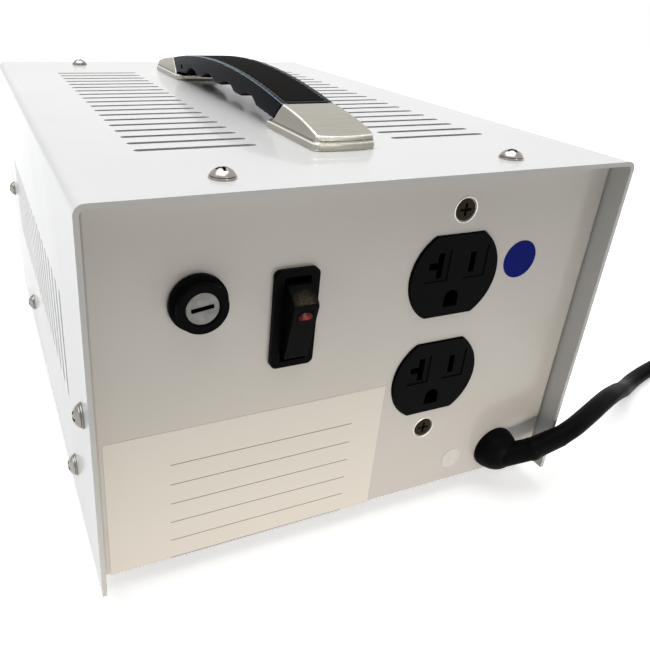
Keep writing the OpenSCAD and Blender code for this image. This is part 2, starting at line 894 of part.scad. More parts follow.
// Distance from the middle to the cap's mouth at height z over the cover
function mouth_at(z) = mouth_y - mouth_slant * (cap_high_h - z) / (cap_high_h - cap_foot_h);
module grip_outline() {
    low_end = mouth_at(grip_end_h) - grip_gap;
    high_end = mouth_at(grip_top_h) - grip_gap;
    difference() {
        intersection() {
            arc_disc(mouth_y, grip_top_h, cap_high_h, 0);
            polygon([
                [-low_end, grip_end_h],
                [low_end, grip_end_h],
                [high_end, grip_top_h],
                [-high_end, grip_top_h]
            ]);
        }
        arc_disc(mouth_y - mouth_slant, grip_low_h, grip_end_h, 0);
        // Hollows for four fingers
        for (s = [-1, 1])
            for (k = [0.5, 1.5])
                translate([s * k * scallop_pitch, scallop_at(k) - scallop_r])
                    circle(scallop_r, $fn = fine_fn / 3);
    }
}
// Height of the finger hollow k pitches from the middle: the outer ones follow the grip's bow
function scallop_at(k) = scallop_top_h - (k - 0.5) * (grip_low_h - grip_end_h) / 4;
// Top pad's outline, along the upper side of the grip
module pad_outline(gap) {
    intersection() {
        difference() {
            arc_disc(mouth_y, grip_top_h, cap_high_h, cut);
            arc_disc(mouth_y, grip_top_h, cap_high_h, -pad_h - gap);
        }
        translate([-mouth_y + pad_end - gap, 0]) square([2 * (mouth_y - pad_end + gap), 2 * grip_top_h]);
    }
}
module handle_strip() {
    reach = mouth_y + tongue_len;
    color("dimgray")
        translate([0, 0, top_z])
            difference() {
                intersection() {
                    extrude_across(strip_w) strip_outline(0);
                    translate([-handle_w / 2, -reach, 0]) cube([handle_w, 2 * reach, 2 * grip_top_h]);
                }
                // Slots round the inner bosses of the caps
                for (s = [-1, 1])
                    translate([0, s * (handle_half - boss_far), 0])
                        rotate([0, 0, 90]) translate([0, 0, cut])
                            slot(2 * (boss_r + loose_gap) + handle_lift, 2 * (boss_r + loose_gap), grip_top_h);
            }
}
module handle_grip() {
    color("black")
        translate([0, 0, top_z])
            difference() {
                extrude_across(handle_w) grip_outline();
                extrude_across(strip_w + 2 * loose_gap) strip_outline(thread_gap);
                extrude_across(pad_w) pad_outline(0);
            }
}
module grip_pad() {
    color("dimgray")
        translate([0, 0, top_z])
            intersection() {
                extrude_across(pad_w) pad_outline(0);
                extrude_across(handle_w) arc_disc(mouth_y, grip_top_h, cap_high_h, 0);
            }
}
module handle_screws() {
    color("silver")
        at_handle_screws() {
            translate([0, 0, -cover_t]) rotate([180, 0, 0]) pan_head(handle_head_r, handle_head_h);
            bore(
                handle_screw_r,
                -cover_t - handle_head_h * (1 - recess_depth_share),
                screw_stop - loose_gap
            );
        }
}

module fuse_holder() {
    color("black")
        on_panel(fuse_x, fuse_z)
            difference() {
                union() {
                    bore(fuse_flange_r, 0, fuse_flange_t);
                    bore(fuse_collar_r, 0, fuse_collar_h);
                    bore(fuse_barrel_r, -fuse_barrel_len, fuse_flange_t);
                }
                bore(carrier_r + carrier_gap, -fuse_seat - fuse_len - fuse_back_gap, fuse_collar_h + cut);
            }
}
module fuse_holder_nut() {
    color("dimgray")
        on_panel(fuse_x, fuse_z)
            translate([0, 0, -chassis_t - fuse_nut_h])
                hex_nut(fuse_nut_r, fuse_nut_h, fuse_barrel_r + thread_gap);
}
module fuse_terminals() {
    color("gold")
        on_panel(fuse_x, fuse_z) {
            translate([-tab_w / 2, -tab_t / 2, -fuse_barrel_len - tab_len]) cube([tab_w, tab_t, tab_len]);
            translate([fuse_barrel_r, -tab_w / 2, -fuse_barrel_len + side_tab_in])
                cube([tab_len, tab_w, tab_t]);
        }
}
module fuse_carrier() {
    color("dimgray")
        on_panel(fuse_x, fuse_z)
            difference() {
                bore(carrier_r, -carrier_len, fuse_collar_h - cap_disc_in - cap_disc_t);
                bore(fuse_r + thread_gap, -carrier_len - cut, -fuse_seat);
                bore(
                    cap_pin_r + thread_gap,
                    fuse_collar_h - cap_disc_in - cap_disc_t - cap_pin_len - loose_gap,
                    fuse_collar_h
                );
            }
}
module fuse_cap() {
    color("gray")
        on_panel(fuse_x, fuse_z)
            difference() {
                union() {
                    bore(cap_disc_r, fuse_collar_h - cap_disc_in - cap_disc_t, fuse_collar_h - cap_disc_in);
                    bore(
                        cap_pin_r,
                        fuse_collar_h - cap_disc_in - cap_disc_t - cap_pin_len,
                        fuse_collar_h - cap_disc_in - cap_disc_t / 2
                    );
                }
                rotate([0, 0, driver_slot_turn])
                    translate([
                        -driver_slot_len / 2,
                        -driver_slot_w / 2,
                        fuse_collar_h - cap_disc_in - driver_slot_d
                    ])
                        cube([driver_slot_len, driver_slot_w, driver_slot_d + cut]);
            }
}
module fuse_glass() {
    color("lightcyan", 0.5)
        on_panel(fuse_x, fuse_z)
            difference() {
                bore(
                    fuse_r - fuse_cap_wall - thread_gap,
                    -fuse_seat - fuse_len + fuse_cap_wall,
                    -fuse_seat - fuse_cap_wall
                );
                bore(
                    fuse_r - 3 * fuse_cap_wall,
                    -fuse_seat - fuse_len,
                    -fuse_seat
                );
            }
}
module fuse_end_caps() {
    color("silver")
        on_panel(fuse_x, fuse_z)
            for (low = [-fuse_seat - fuse_len, -fuse_seat - fuse_cap_len])
                difference() {
                    bore(fuse_r, low, low + fuse_cap_len);
                    bore(
                        fuse_r - fuse_cap_wall,
                        -fuse_seat - fuse_len + fuse_cap_wall,
                        -fuse_seat - fuse_cap_wall
                    );
                }
}
module fuse_wire() {
    color("silver")
        on_panel(fuse_x, fuse_z)
            bore(fuse_wire_r, -fuse_seat - fuse_len + fuse_cap_wall, -fuse_seat - fuse_cap_wall);
}

module switch_housing() {
    color("black")
        on_panel(switch_x, switch_z)
            difference() {
                union() {
                    linear_extrude(switch_t) round_rect(switch_w, switch_h, switch_corner_r);
                    translate([-switch_body_w / 2, -switch_body_h / 2, -switch_body_d])
                        cube([switch_body_w, switch_body_h, switch_body_d]);
                }
                translate([-rocker_w / 2 - well_gap, -well_half_h, -well_d])
                    cube([rocker_w + 2 * well_gap, 2 * well_half_h, well_d + switch_t + cut]);
                translate([0, 0, -pivot_in])
                    rotate([0, 90, 0])
                        bore(pivot_r + thread_gap, -rocker_w / 2 - pivot_len - well_gap,
                            rocker_w / 2 + pivot_len + well_gap);
            }
}
// Direction along the rocker's long facet, and the facet's slope in degrees
facet_run = rocker_ridge - rocker_low;
facet_slope = atan2(facet_run[0], facet_run[1]);
// Places children at the lens's middle: X across, Y up the facet, Z out of it
module on_facet() {
    at = rocker_ridge - lens_down * unit(facet_run);
    on_panel(switch_x, switch_z) translate([0, at[1], at[0]]) rotate([-facet_slope, 0, 0]) children();
}
module rocker() {
    color("black")
        difference() {
            on_panel(switch_x, switch_z) {
                rotate([0, -90, 0])
                    linear_extrude(rocker_w, center = true) {
                        polygon([
                            rocker_top,
                            rocker_ridge - ridge_r * unit(rocker_ridge - rocker_top),
                            rocker_ridge - ridge_r * unit(facet_run),
                            rocker_low,
                            [-rocker_waist_in, -rocker_waist_half],
                            [-rocker_back_in, -rocker_back_half],
                            [-rocker_back_in, rocker_back_half],
                            [-rocker_waist_in, rocker_waist_half]
                        ]);
                    }
                translate([0, 0, -pivot_in])
                    rotate([0, 90, 0]) bore(pivot_r, -rocker_w / 2 - pivot_len, rocker_w / 2 + pivot_len);
            }
            on_facet() translate([-lens_w / 2, -lens_h / 2, -lens_d]) cube([lens_w, lens_h, lens_d + cut]);
        }
}
module rocker_lens() {
    color("red")
        on_facet()
            intersection() {
                translate([-lens_w / 2 + thread_gap, -lens_h / 2 + thread_gap, -lens_d])
                    cube([lens_w - 2 * thread_gap, lens_h - 2 * thread_gap, lens_d + lens_out]);
                translate([0, 0, lens_out - lens_w])
                    rotate([90, 0, 0]) cylinder(r = lens_w, h = lens_h, center = true);
            }
}
module switch_terminals() {
    color("gold")
        on_panel(switch_x, switch_z)
            for (k = [-1, 0, 1])
                translate([-switch_tab_w / 2, k * switch_tab_pitch - tab_t / 2, -switch_body_d - tab_len])
                    cube([switch_tab_w, tab_t, tab_len]);
}

// Places children at the middle of each outlet face
module at_faces() {
    on_panel(outlet_x, outlet_z)
        for (s = [-1, 1]) translate([0, s * face_pitch / 2, 0]) children();
}
module blade_slots() {
    deep = back_in + face_out;
    translate([blade_x - slot_w / 2, blade_up - line_slot_h / 2, -deep]) cube([slot_w, line_slot_h, 2 * deep]);
    translate([-blade_x - slot_w / 2, blade_up - neutral_slot_h / 2, -deep])
        cube([slot_w, neutral_slot_h, 2 * deep]);
    translate([-blade_x - tee_len, blade_up - slot_w / 2, -deep]) cube([tee_len, slot_w, 2 * deep]);
    translate([0, -ground_down, -deep]) {
        cylinder(r = ground_r, h = 2 * deep);
        translate([-ground_r, -ground_flat, 0]) cube([2 * ground_r, ground_flat, 2 * deep]);
    }
}
module outlet_face() {
    color("black")
        difference() {
            union() {
                at_faces()
                    translate([0, 0, -face_plate_in]) linear_extrude(face_plate_in + face_out) face_shape(0);
                on_panel(outlet_x, outlet_z)
                    translate([-body_w / 2, -body_h / 2, -face_plate_in - face_plate_t])
                        cube([body_w, body_h, face_plate_t]);
            }
            at_faces() blade_slots();
            // Shallow recess round the two blade slots
            at_faces()
                translate([0, 0, face_out - recess_d])
                    linear_extrude(face_out)
                        for (s = [-1, 1])
                            translate([s * (blade_x + slot_w / 2), blade_up])
                                square([4 * slot_w, neutral_slot_h + slot_w], center = true);
        }
}
module outlet_back() {
    low = -back_in;
    top = -face_plate_in - face_plate_t;
    color("black")
        on_panel(outlet_x, outlet_z)
            difference() {
                translate([-body_w / 2, -body_h / 2, low]) cube([body_w, body_h, top - low]);
                translate([-body_w / 2 + back_wall, -body_h / 2 + back_wall, low + back_wall])
                    cube([body_w - 2 * back_wall, body_h - 2 * back_wall, top - low]);
                for (y = [-1, 1])
                    translate([0, y * face_pitch / 2, -terminal_in])
                        rotate([0, 90, 0]) bore(terminal_pin_r + thread_gap, -body_w, body_w);
            }
}
module outlet_strap() {
    color("silver")
        on_panel(outlet_x, outlet_z) {
            translate([-strap_w / 2, -body_h / 2 - strap_t, -back_in - strap_t])
                cube([strap_w, body_h + 2 * strap_t, strap_t]);
            for (s = [0, 1])
                mirror([0, s, 0]) {
                    translate([-strap_w / 2, body_h / 2, -back_in - strap_t])
                        cube([strap_w, strap_t, back_in + strap_t - chassis_t]);
                    difference() {
                        translate([-strap_w / 2, body_h / 2, -chassis_t - strap_t])
                            cube([strap_w, ear_half - body_h / 2, strap_t]);
                        translate([0, yoke_pitch / 2, 0])
                            bore(yoke_screw_r + screw_gap, -chassis_t - strap_t - cut, cut);
                    }
                }
        }
}
// A contact bus on the floor of the outlet's back, with a pair of leaves for each face
module blade_contact(side) {
    floor = -back_in + back_wall;
    on_panel(outlet_x, outlet_z) {
        translate([side * blade_x - bus_w / 2, -face_pitch / 2 - blade_up, floor])
            cube([bus_w, face_pitch + 2 * blade_up + leaf_h / 2, bus_t]);
        for (y = [-1, 1])
            for (x = [-1, 1])
                translate([
                    side * blade_x + x * (slot_w / 2 + leaf_gap) - leaf_t / 2,
                    y * face_pitch / 2 + blade_up - leaf_h / 2,
                    floor
                ])
                    cube([leaf_t, leaf_h, -face_plate_in - face_plate_t - leaf_top_gap - floor]);
    }
}
module outlet_line_contact() {
    color("gold") blade_contact(1);
}
module outlet_neutral_contact() {
    color("gold") blade_contact(-1);
}
module outlet_earth_contact() {
    floor = -back_in + back_wall;
    top = -face_plate_in - face_plate_t - leaf_top_gap;
    color("gold")
        on_panel(outlet_x, outlet_z) {
            translate([-earth_bus_w / 2, -face_pitch / 2 - ground_down, floor])
                cube([earth_bus_w, face_pitch, bus_t]);
            for (y = [-1, 1])
                translate([0, y * face_pitch / 2 - ground_down, 0])
                    difference() {
                        bore(ground_r, floor, top);
                        bore(ground_r - earth_clip_t, floor + bus_t, top + cut);
                    }
        }
}
module outlet_terminals() {
    color("gold")
        on_panel(outlet_x, outlet_z)
            for (y = [-1, 1])
                for (x = [-1, 1])
                    translate([x * body_w / 2, y * face_pitch / 2, -terminal_in])
                        rotate([0, x * 90, 0]) {
                            pan_head(terminal_r, terminal_t);
                            bore(terminal_pin_r, -terminal_pin_len, terminal_t * (1 - recess_depth_share));
                        }
}
module outlet_screws() {
    color("peru")
        on_panel(outlet_x, outlet_z)
            for (s = [-1, 1])
                translate([0, s * yoke_pitch / 2, 0])
                    difference() {
                        union() {
                            translate([0, 0, -chassis_t])
                                cylinder(r1 = yoke_screw_r, r2 = yoke_head_r, h = csk_d - ring_d);
                            bore(yoke_head_r, -chassis_t + csk_d - ring_d, 0);
                            bore(yoke_screw_r, -yoke_screw_len, -chassis_t + thread_gap);
                        }
                        translate([0, 0, -csk_d]) cross_recess(yoke_head_r, csk_d);
                    }
}
module outlet_nuts() {
    color("silver")
        on_panel(outlet_x, outlet_z)
            for (s = [-1, 1])
                translate([0, s * yoke_pitch / 2, -chassis_t - strap_t - yoke_nut_h])
                    hex_nut(yoke_nut_r, yoke_nut_h, yoke_screw_r + thread_gap);
}

// A cone whose axis runs from point a to point b
module cone_to(a, b, r1, r2) {
    v = b - a;
    translate(a)
        rotate([0, acos(v[2] / norm(v)), atan2(v[1], v[0])]) cylinder(r1 = r1, r2 = r2, h = norm(v));
}
module strain_relief() {
    color("black") {
        on_panel(entry_x, entry_z) {
            bore(entry_flange_r, 0, entry_flange_t);
            bore(stem_r, -stem_len, entry_flange_t);
            intersection() {
                translate([0, 0, dome_out]) sphere(dome_r);
                bore(2 * dome_r, 0, 2 * dome_r);
            }
        }
        // Bent boot, from inside the dome to the start of the free cord
        cone_to([entry_x, front_y - cord_out, case_z + entry_z], boot_bend, boot_r, boot_mid_r);
        translate(boot_bend) sphere(boot_knee_r);
        cone_to(boot_bend, cord_points[0], boot_mid_r, boot_end_r);
    }
}
module strain_relief_nut() {
    color("black")
        on_panel(entry_x, entry_z)
            translate([0, 0, -chassis_t - stem_nut_h])
                hex_nut(stem_nut_r, stem_nut_h, stem_r + thread_gap);
}
module cord_tail() {
    color("black") on_panel(entry_x, entry_z) bore(cord_d / 2, -stem_len - tail_len, -stem_len);
}

module power_cord() {
    q = smooth(cord_points, cord_steps);
    last = len(q) - 1;
    d = [
        for (i = [0 : last])
            i == 0 ? unit(cord_start_dir) : i == last ? [1, 0, 0] : heading(q, i)
    ];
    echo(power_cord_length = path_length(q));
    color("black") tube(q, d, cord_d / 2, cord_sides);
}
function path_length(p, i = 0, sum = 0) =
    i == len(p) - 1 ? sum : path_length(p, i + 1, sum + norm(p[i + 1] - p[i]));
function ease(u) = u * u * (3 - 2 * u);
// Radius of the coil after t turns: in, a half turn of climbing, and out again
function coil_radius(t) =
    let (low_end = coil_r - coil_pitch * coil_turns, u = (t - coil_turns) / 0.5)
    t < coil_turns ? coil_r - coil_pitch * t
    : u < 1 ? low_end - coil_pitch * 0.5 * (u - u * u)
    : low_end + coil_pitch * (t - coil_turns - 0.5);
function coil_height(t) =
    let (u = (t - coil_turns) / 0.5)
    coil_z + layer_h * (u < 0 ? 0 : u < 1 ? ease(u) : 1);
function coil_point(t) =
    let (a = 90 - 360 * t)
    [coil_x + coil_radius(t) * cos(a), coil_y + coil_radius(t) * sin(a), coil_height(t)];
coil_total = 2 * coil_turns + 0.5;
coil_end = coil_point(coil_total);
coil_path = concat(
    [[coil_x - cord_d, coil_y + coil_r, coil_z]],
    [for (i = [0 : round(coil_total * coil_rings)]) coil_point(i / coil_rings)],
    [coil_end - [cord_d, 0, 0]]
);
// Least distance between points of the coil that are at least half a turn apart, less the cord
coil_gap = min([
    for (i = [0 : len(coil_path) - 1])
        for (k = [i + coil_rings / 2 : 1 : len(coil_path) - 1])
            norm(coil_path[i] - coil_path[k])
]) - cord_d;
module cord_coil() {
    last = len(coil_path) - 1;
    d = [
        for (i = [0 : last])
            i < 2 ? [1, 0, 0] : i > last - 2 ? [-1, 0, 0] : heading(coil_path, i)
    ];
    echo(coil_length = path_length(coil_path));
    echo(coil_gap_to_itself = coil_gap);
    color("black") tube(coil_path, d, cord_d / 2, coil_sides);
}
module coil_tie() {
    in_r = min([for (t = [0.25 : 1 : coil_total]) coil_radius(t)]) - cord_d / 2 - tie_gap;
    out_r = max([for (t = [0.25 : 1 : coil_total]) coil_radius(t)]) + cord_d / 2 + tie_gap;
    high = coil_z + layer_h + cord_d / 2 + tie_gap;
    color("dimgray")
        translate([coil_x + in_r - tie_t, coil_y - tie_w / 2, 0])
            difference() {
                cube([out_r - in_r + 2 * tie_t, tie_w, high + tie_t]);
                translate([tie_t, -cut, tie_floor_t]) cube([out_r - in_r, tie_w + 2 * cut, high - tie_floor_t]);
            }
}
// Places children at the plug: Z along the cord towards the pins, X up
module on_plug() {
    translate([coil_end[0] - cord_d, coil_end[1], plug_z]) rotate([0, -90, 0]) children();
}
module plug_body() {
    color("black")
        on_plug() {
            cylinder(r1 = plug_sleeve_r, r2 = plug_sleeve_big_r, h = plug_sleeve_len);
            translate([0, 0, plug_sleeve_len])
                linear_extrude(plug_len) round_rect(2 * plug_z, plug_w, plug_corner_r);
        }
}
module pin(len) {
    translate([-pin_w / 2, -pin_t / 2, 0]) cube([pin_w, pin_t, len]);
}
module plug_pins() {
    color("gold")
        on_plug()
            translate([0, 0, plug_sleeve_len + plug_len]) {
                for (s = [-1, 1])
                    rotate([0, 0, s * 60]) translate([pin_ring, 0, 0]) rotate([0, 0, 90]) pin(pin_len);
                translate([-earth_pin_ring, 0, 0]) pin(earth_pin_len);
            }
}

module rating_label() {
    color("cornsilk")
        on_panel(label_x, label_low) cube([label_w, label_h, label_t]);
}
module blue_dot() {
    color("blue") on_panel(dot_x, dot_z) cylinder(r = dot_r, h = label_t);
}
module round_sticker() {
    color("ivory") on_panel(sticker_x, sticker_z) cylinder(r = sticker_r, h = label_t);
}

ring_z = base_top_z + pad_t;
module on_ring(z) {
    translate([0, ring_y, z]) children();
}
module toroid_core() {
    color("slategray")
        on_ring(ring_z + (ring_h - core_h) / 2)
            difference() {
                bore(core_r, 0, core_h);
                bore(core_hole_r, -cut, core_h + cut);
            }
}
module toroid_winding() {
    color("goldenrod")
        on_ring(ring_z + ring_h / 2)
            rotate_extrude()
                difference() {
                    translate([(ring_r + ring_hole_r) / 2, 0])
                        round_rect(ring_r - ring_hole_r, ring_h, ring_corner_r);
                    translate([core_hole_r - core_gap, -core_h / 2 - core_gap])
                        square([core_r - core_hole_r + 2 * core_gap, core_h + 2 * core_gap]);
                }
}
module pad(r) {
    difference() {
        bore(r, 0, pad_t);
        bore(pad_hole_r, -cut, pad_t + cut);
    }
}
module lower_pad() {
    color("dimgray") on_ring(base_top_z) pad(lower_pad_r);
}
module upper_pad() {
    color("dimgray") on_ring(ring_z + ring_h) pad(plate_r + pad_t);
}
plate_z = ring_z + ring_h + pad_t;
module clamp_plate() {
    color("silver")
        on_ring(plate_z)
            difference() {
                bore(plate_r, 0, plate_t);
                bore(bolt_r + screw_gap, -cut, plate_t + cut);
            }
}
module clamp_bolt() {
    color("silver")
        on_ring(0) {
            translate([0, 0, case_z - bolt_head_h]) cylinder(r = bolt_head_r, h = bolt_head_h, $fn = 6);
            bore(bolt_r, case_z - bolt_head_h / 2, plate_z + plate_t + clamp_nut_h + bolt_stand);
        }
}
module clamp_nut() {
    color("silver")
        on_ring(plate_z + plate_t) hex_nut(clamp_nut_r, clamp_nut_h, bolt_r + thread_gap);
}

// Places children at each pole of the terminal block, on the base
module at_poles() {
    for (k = [-1, 0, 1])
        translate([block_x + k * block_pitch, block_y, base_top_z]) children();
}
module terminal_block() {
    color("ivory")
        difference() {
            translate([block_x - block_w / 2, block_y - block_d / 2, base_top_z])
                cube([block_w, block_d, block_h]);
            at_poles() {
                bore(block_head_r + screw_gap, block_h - block_hole_d, block_h + cut);
                translate([0, 0, block_h / 2 - block_bore_r])
                    rotate([90, 0, 0]) bore(block_bore_r, -block_d, -block_d / 2 + block_hole_d / 2);
            }
        }
}
module terminal_screws() {
    color("gold")
        at_poles()
            translate([0, 0, block_h - block_hole_d]) {
                pan_head(block_head_r, block_hole_d / 2);
            }
}
module earth_stud() {
    color("gold")
        translate([stud_x, stud_y, case_z]) {
            bore(stud_head_r, -stud_head_h, 0);
            bore(stud_r, -stud_head_h, stud_len);
        }
}
module earth_nut() {
    color("gold")
        translate([stud_x, stud_y, base_top_z + 2 * lug_t])
            hex_nut(stud_nut_r, stud_nut_h, stud_r + thread_gap);
}
// One ring lug of the earth wires, the k-th on the stud
module lug(k) {
    color("silver")
        translate([stud_x, stud_y, base_top_z + k * lug_t])
            difference() {
                bore(lug_r, 0, lug_t);
                bore(stud_r + screw_gap, -cut, lug_t + cut);
            }
}

// The straight start and end of a wire at the place p, which it leaves in the direction d
function lead_out(p, d) = [p + loose_gap * d, p + wire_lead / 2 * d, p + wire_lead * d];
function lead_in(p, d) = [p + wire_lead * d, p + wire_lead / 2 * d, p + loose_gap * d];
to_back = [0, 1, 0];
to_left = [-1, 0, 0];
to_right = [1, 0, 0];
// Starts of the three cores at the end of the cord's tail, at the given angle
function core_start(a) = [
    entry_x + core_wire_ring * cos(a),
    front_y + stem_len + tail_len,
    case_z + entry_z + core_wire_ring * sin(a)
];
function pole(k) = [
    block_x + k * block_pitch,
    block_y + block_d / 2 - block_hole_d / 2,
    base_top_z + block_h / 2 - block_bore_r
];
// Direction out of the ring at an angle from the front, and the place on its outside at that angle
function ring_out(a) = [sin(a), -cos(a), 0];
function on_winding(a, share) = [0, ring_y, ring_z + ring_h * share] + ring_r * ring_out(a);
// Free lane between the outlets and the ring, at a number of steps over the base
lane_y = (front_y + back_in + strap_t + ring_y - ring_r) / 2;
function lane(x, steps) = [x, lane_y, base_top_z + steps * lane_step];
fuse_end = [fuse_x, front_y + fuse_barrel_len + tab_len, case_z + fuse_z];
fuse_side = [
    fuse_x + fuse_barrel_r + tab_len,
    front_y + fuse_barrel_len - side_tab_in - tab_t / 2,
    case_z + fuse_z
];
function switch_tab(k) = [
    switch_x,
    front_y + switch_body_d + tab_len,
    case_z + switch_z + k * switch_tab_pitch
];
// Outer end of an outlet's terminal screw: side 1 is the line's, -1 the neutral's
function outlet_terminal(side) = [
    outlet_x + side * (body_w / 2 + terminal_t),
    front_y + terminal_in,
    case_z + outlet_z - face_pitch / 2
];
outlet_back_mid = [outlet_x, front_y + back_in + strap_t, case_z + outlet_z];
lug_z = base_top_z + lug_t + wire_r;
module active_wires() {
    wire(
        concat(
            lead_out(core_start(150), to_back),
            [lane(outlet_x + body_w / 2, 5), lane(outlet_x - body_w / 2, 6), lane(switch_x, 6)],
            [lane((switch_x + fuse_x) / 2, 12), lane(fuse_x, 20) + wire_lead * to_back],
            lead_in(fuse_end, to_back)
        ),
        "saddlebrown"
    );
    wire(
        concat(
            lead_out(fuse_side, to_right),
            [(fuse_side + switch_tab(1)) / 2 + wire_lead * to_back],
            lead_in(switch_tab(1), to_back)
        ),
        "saddlebrown"
    );
    wire(
        concat(
            lead_out(switch_tab(0), to_back),
            [lane((switch_x - ring_r * sin(15)) / 2, 20)],
            lead_in(on_winding(-15, 0.6), ring_out(-15))
        ),
        "saddlebrown"
    );
    wire(
        concat(
            lead_out(on_winding(35, 0.6), ring_out(35)),
            [(on_winding(35, 0.6) + outlet_terminal(1)) / 2 + wire_lead * to_right],
            lead_in(outlet_terminal(1), to_right)
        ),
        "saddlebrown"
    );
}
module neutral_wires() {
    wire(
        concat(
            lead_out(core_start(270), to_back),
            [lane(outlet_x, 1), lane(outlet_x - body_w, 1), lane(pole(1)[0] + wire_lead, 1)],
            lead_in(pole(1), to_back)
        ),
        "royalblue"
    );
    wire(
        concat(
            lead_out(pole(0), to_back),
            [(pole(0) + on_winding(-25, 0.5)) / 2 + wire_lead * to_back],
            lead_in(on_winding(-25, 0.5), ring_out(-25))
        ),
        "royalblue"
    );
    wire(
        concat(
            lead_out(pole(-1), to_back),
            [for (x = [pole(0)[0], switch_x]) lane(x, 14) - wire_lead / 2 * to_back],
            [lane(outlet_x - body_w, 15)],
            lead_in(outlet_terminal(-1), to_left)
        ),
        "royalblue"
    );
}
module earth_wires() {
    lug_front = [stud_x, stud_y - lug_r, lug_z];
    lug_left = [stud_x - lug_r, stud_y, lug_z];
    wire(
        concat(
            lead_out(core_start(30), to_back),
            lead_in(lug_front, -to_back)
        ),
        "yellowgreen"
    );
    wire(
        concat(
            lead_out(outlet_back_mid, to_back),
            [for (k = [1, 2]) lane(outlet_x + k * wire_lead, 10 / k) + wire_lead / 2 * to_back],
            lead_in(lug_left, to_left)
        ),
        "yellowgreen"
    );
    lug(0);
    lug(1);
}

cover();
chassis();
cover_screws();
cover_washers();
clinch_nuts();
feet();
foot_screws();
foot_nuts();
handle_cap_front();
handle_cap_rear();
handle_strip();
handle_grip();
grip_pad();
handle_screws();
fuse_holder();
fuse_holder_nut();
fuse_terminals();
fuse_carrier();
fuse_cap();
fuse_glass();
fuse_end_caps();
fuse_wire();
switch_housing();
rocker();
rocker_lens();
switch_terminals();
outlet_face();
outlet_back();
outlet_strap();
outlet_line_contact();
outlet_neutral_contact();
outlet_earth_contact();
outlet_terminals();
outlet_screws();
outlet_nuts();
strain_relief();
strain_relief_nut();
cord_tail();
power_cord();
cord_coil();
coil_tie();
plug_body();
plug_pins();
rating_label();
blue_dot();
round_sticker();
toroid_core();
toroid_winding();
lower_pad();
upper_pad();
clamp_plate();
clamp_bolt();
clamp_nut();
terminal_block();
terminal_screws();
earth_stud();
earth_nut();
active_wires();
neutral_wires();
earth_wires();
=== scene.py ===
"""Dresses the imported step-down autotransformer for a plain studio picture."""

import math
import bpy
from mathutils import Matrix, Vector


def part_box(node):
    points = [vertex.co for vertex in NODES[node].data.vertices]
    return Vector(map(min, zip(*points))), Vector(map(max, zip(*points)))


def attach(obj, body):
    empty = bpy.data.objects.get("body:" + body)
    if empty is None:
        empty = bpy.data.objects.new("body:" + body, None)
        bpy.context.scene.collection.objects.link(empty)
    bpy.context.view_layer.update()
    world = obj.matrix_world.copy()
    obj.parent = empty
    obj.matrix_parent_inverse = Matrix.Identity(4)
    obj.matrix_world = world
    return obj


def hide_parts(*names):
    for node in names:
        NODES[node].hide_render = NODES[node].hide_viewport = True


bl_info = {
    "name": "Step-down autotransformer",
    "version": (1, 0, 0),
    "blender": (4, 5, 0),
    "location": "View3D > Sidebar > Transformer",
    "description": "Builds the looks of a step-down autotransformer on its packed frame",
    "category": "Add Mesh",
}

import bpy
from mathutils import Matrix, Vector

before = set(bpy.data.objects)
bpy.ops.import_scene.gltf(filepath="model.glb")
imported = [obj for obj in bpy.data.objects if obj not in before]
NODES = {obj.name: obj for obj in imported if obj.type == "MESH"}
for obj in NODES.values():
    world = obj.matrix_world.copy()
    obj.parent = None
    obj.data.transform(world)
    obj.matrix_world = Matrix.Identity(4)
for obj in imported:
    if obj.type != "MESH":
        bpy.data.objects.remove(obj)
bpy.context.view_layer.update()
MIDDLE = (Vector(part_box("cover")[0]) + Vector(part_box("cover")[1])) / 2
MM = 0.001

# The cord's middle line on the table, in millimetres, as in the part's source
CORD_POINTS = [
    (88.3, -131.6, 27.3), (96.2, -130.8, 29.6), (109, -127, 30.9), (117, -124, 30.7), (128, -119.5, 29),
    (140, -114, 25), (152, -108, 19.5), (164, -101.5, 13.5), (177, -94.5, 8), (190, -88.5, 5),
    (204, -84, 4), (218, -81, 4), (234, -79.8, 4.4), (250, -79.5, 4.6),
]
COIL_TURNS = 2.5
COIL_RADIUS = 54.5

# Angles in degrees: what counts as flat, as a sharp edge, and as smooth shading
FLAT_ANGLE = 0.4
SHARP_ANGLE = 30
SMOOTH_ANGLE = 42

# Widths of rounded edges
WASHER_EDGE = 0.0001
SCREW_EDGE = 0.0002
SMALL_EDGE = 0.0003
RUBBER_EDGE = 0.0006
PLUG_EDGE = 0.0015


# Sizes and colours that a user would change

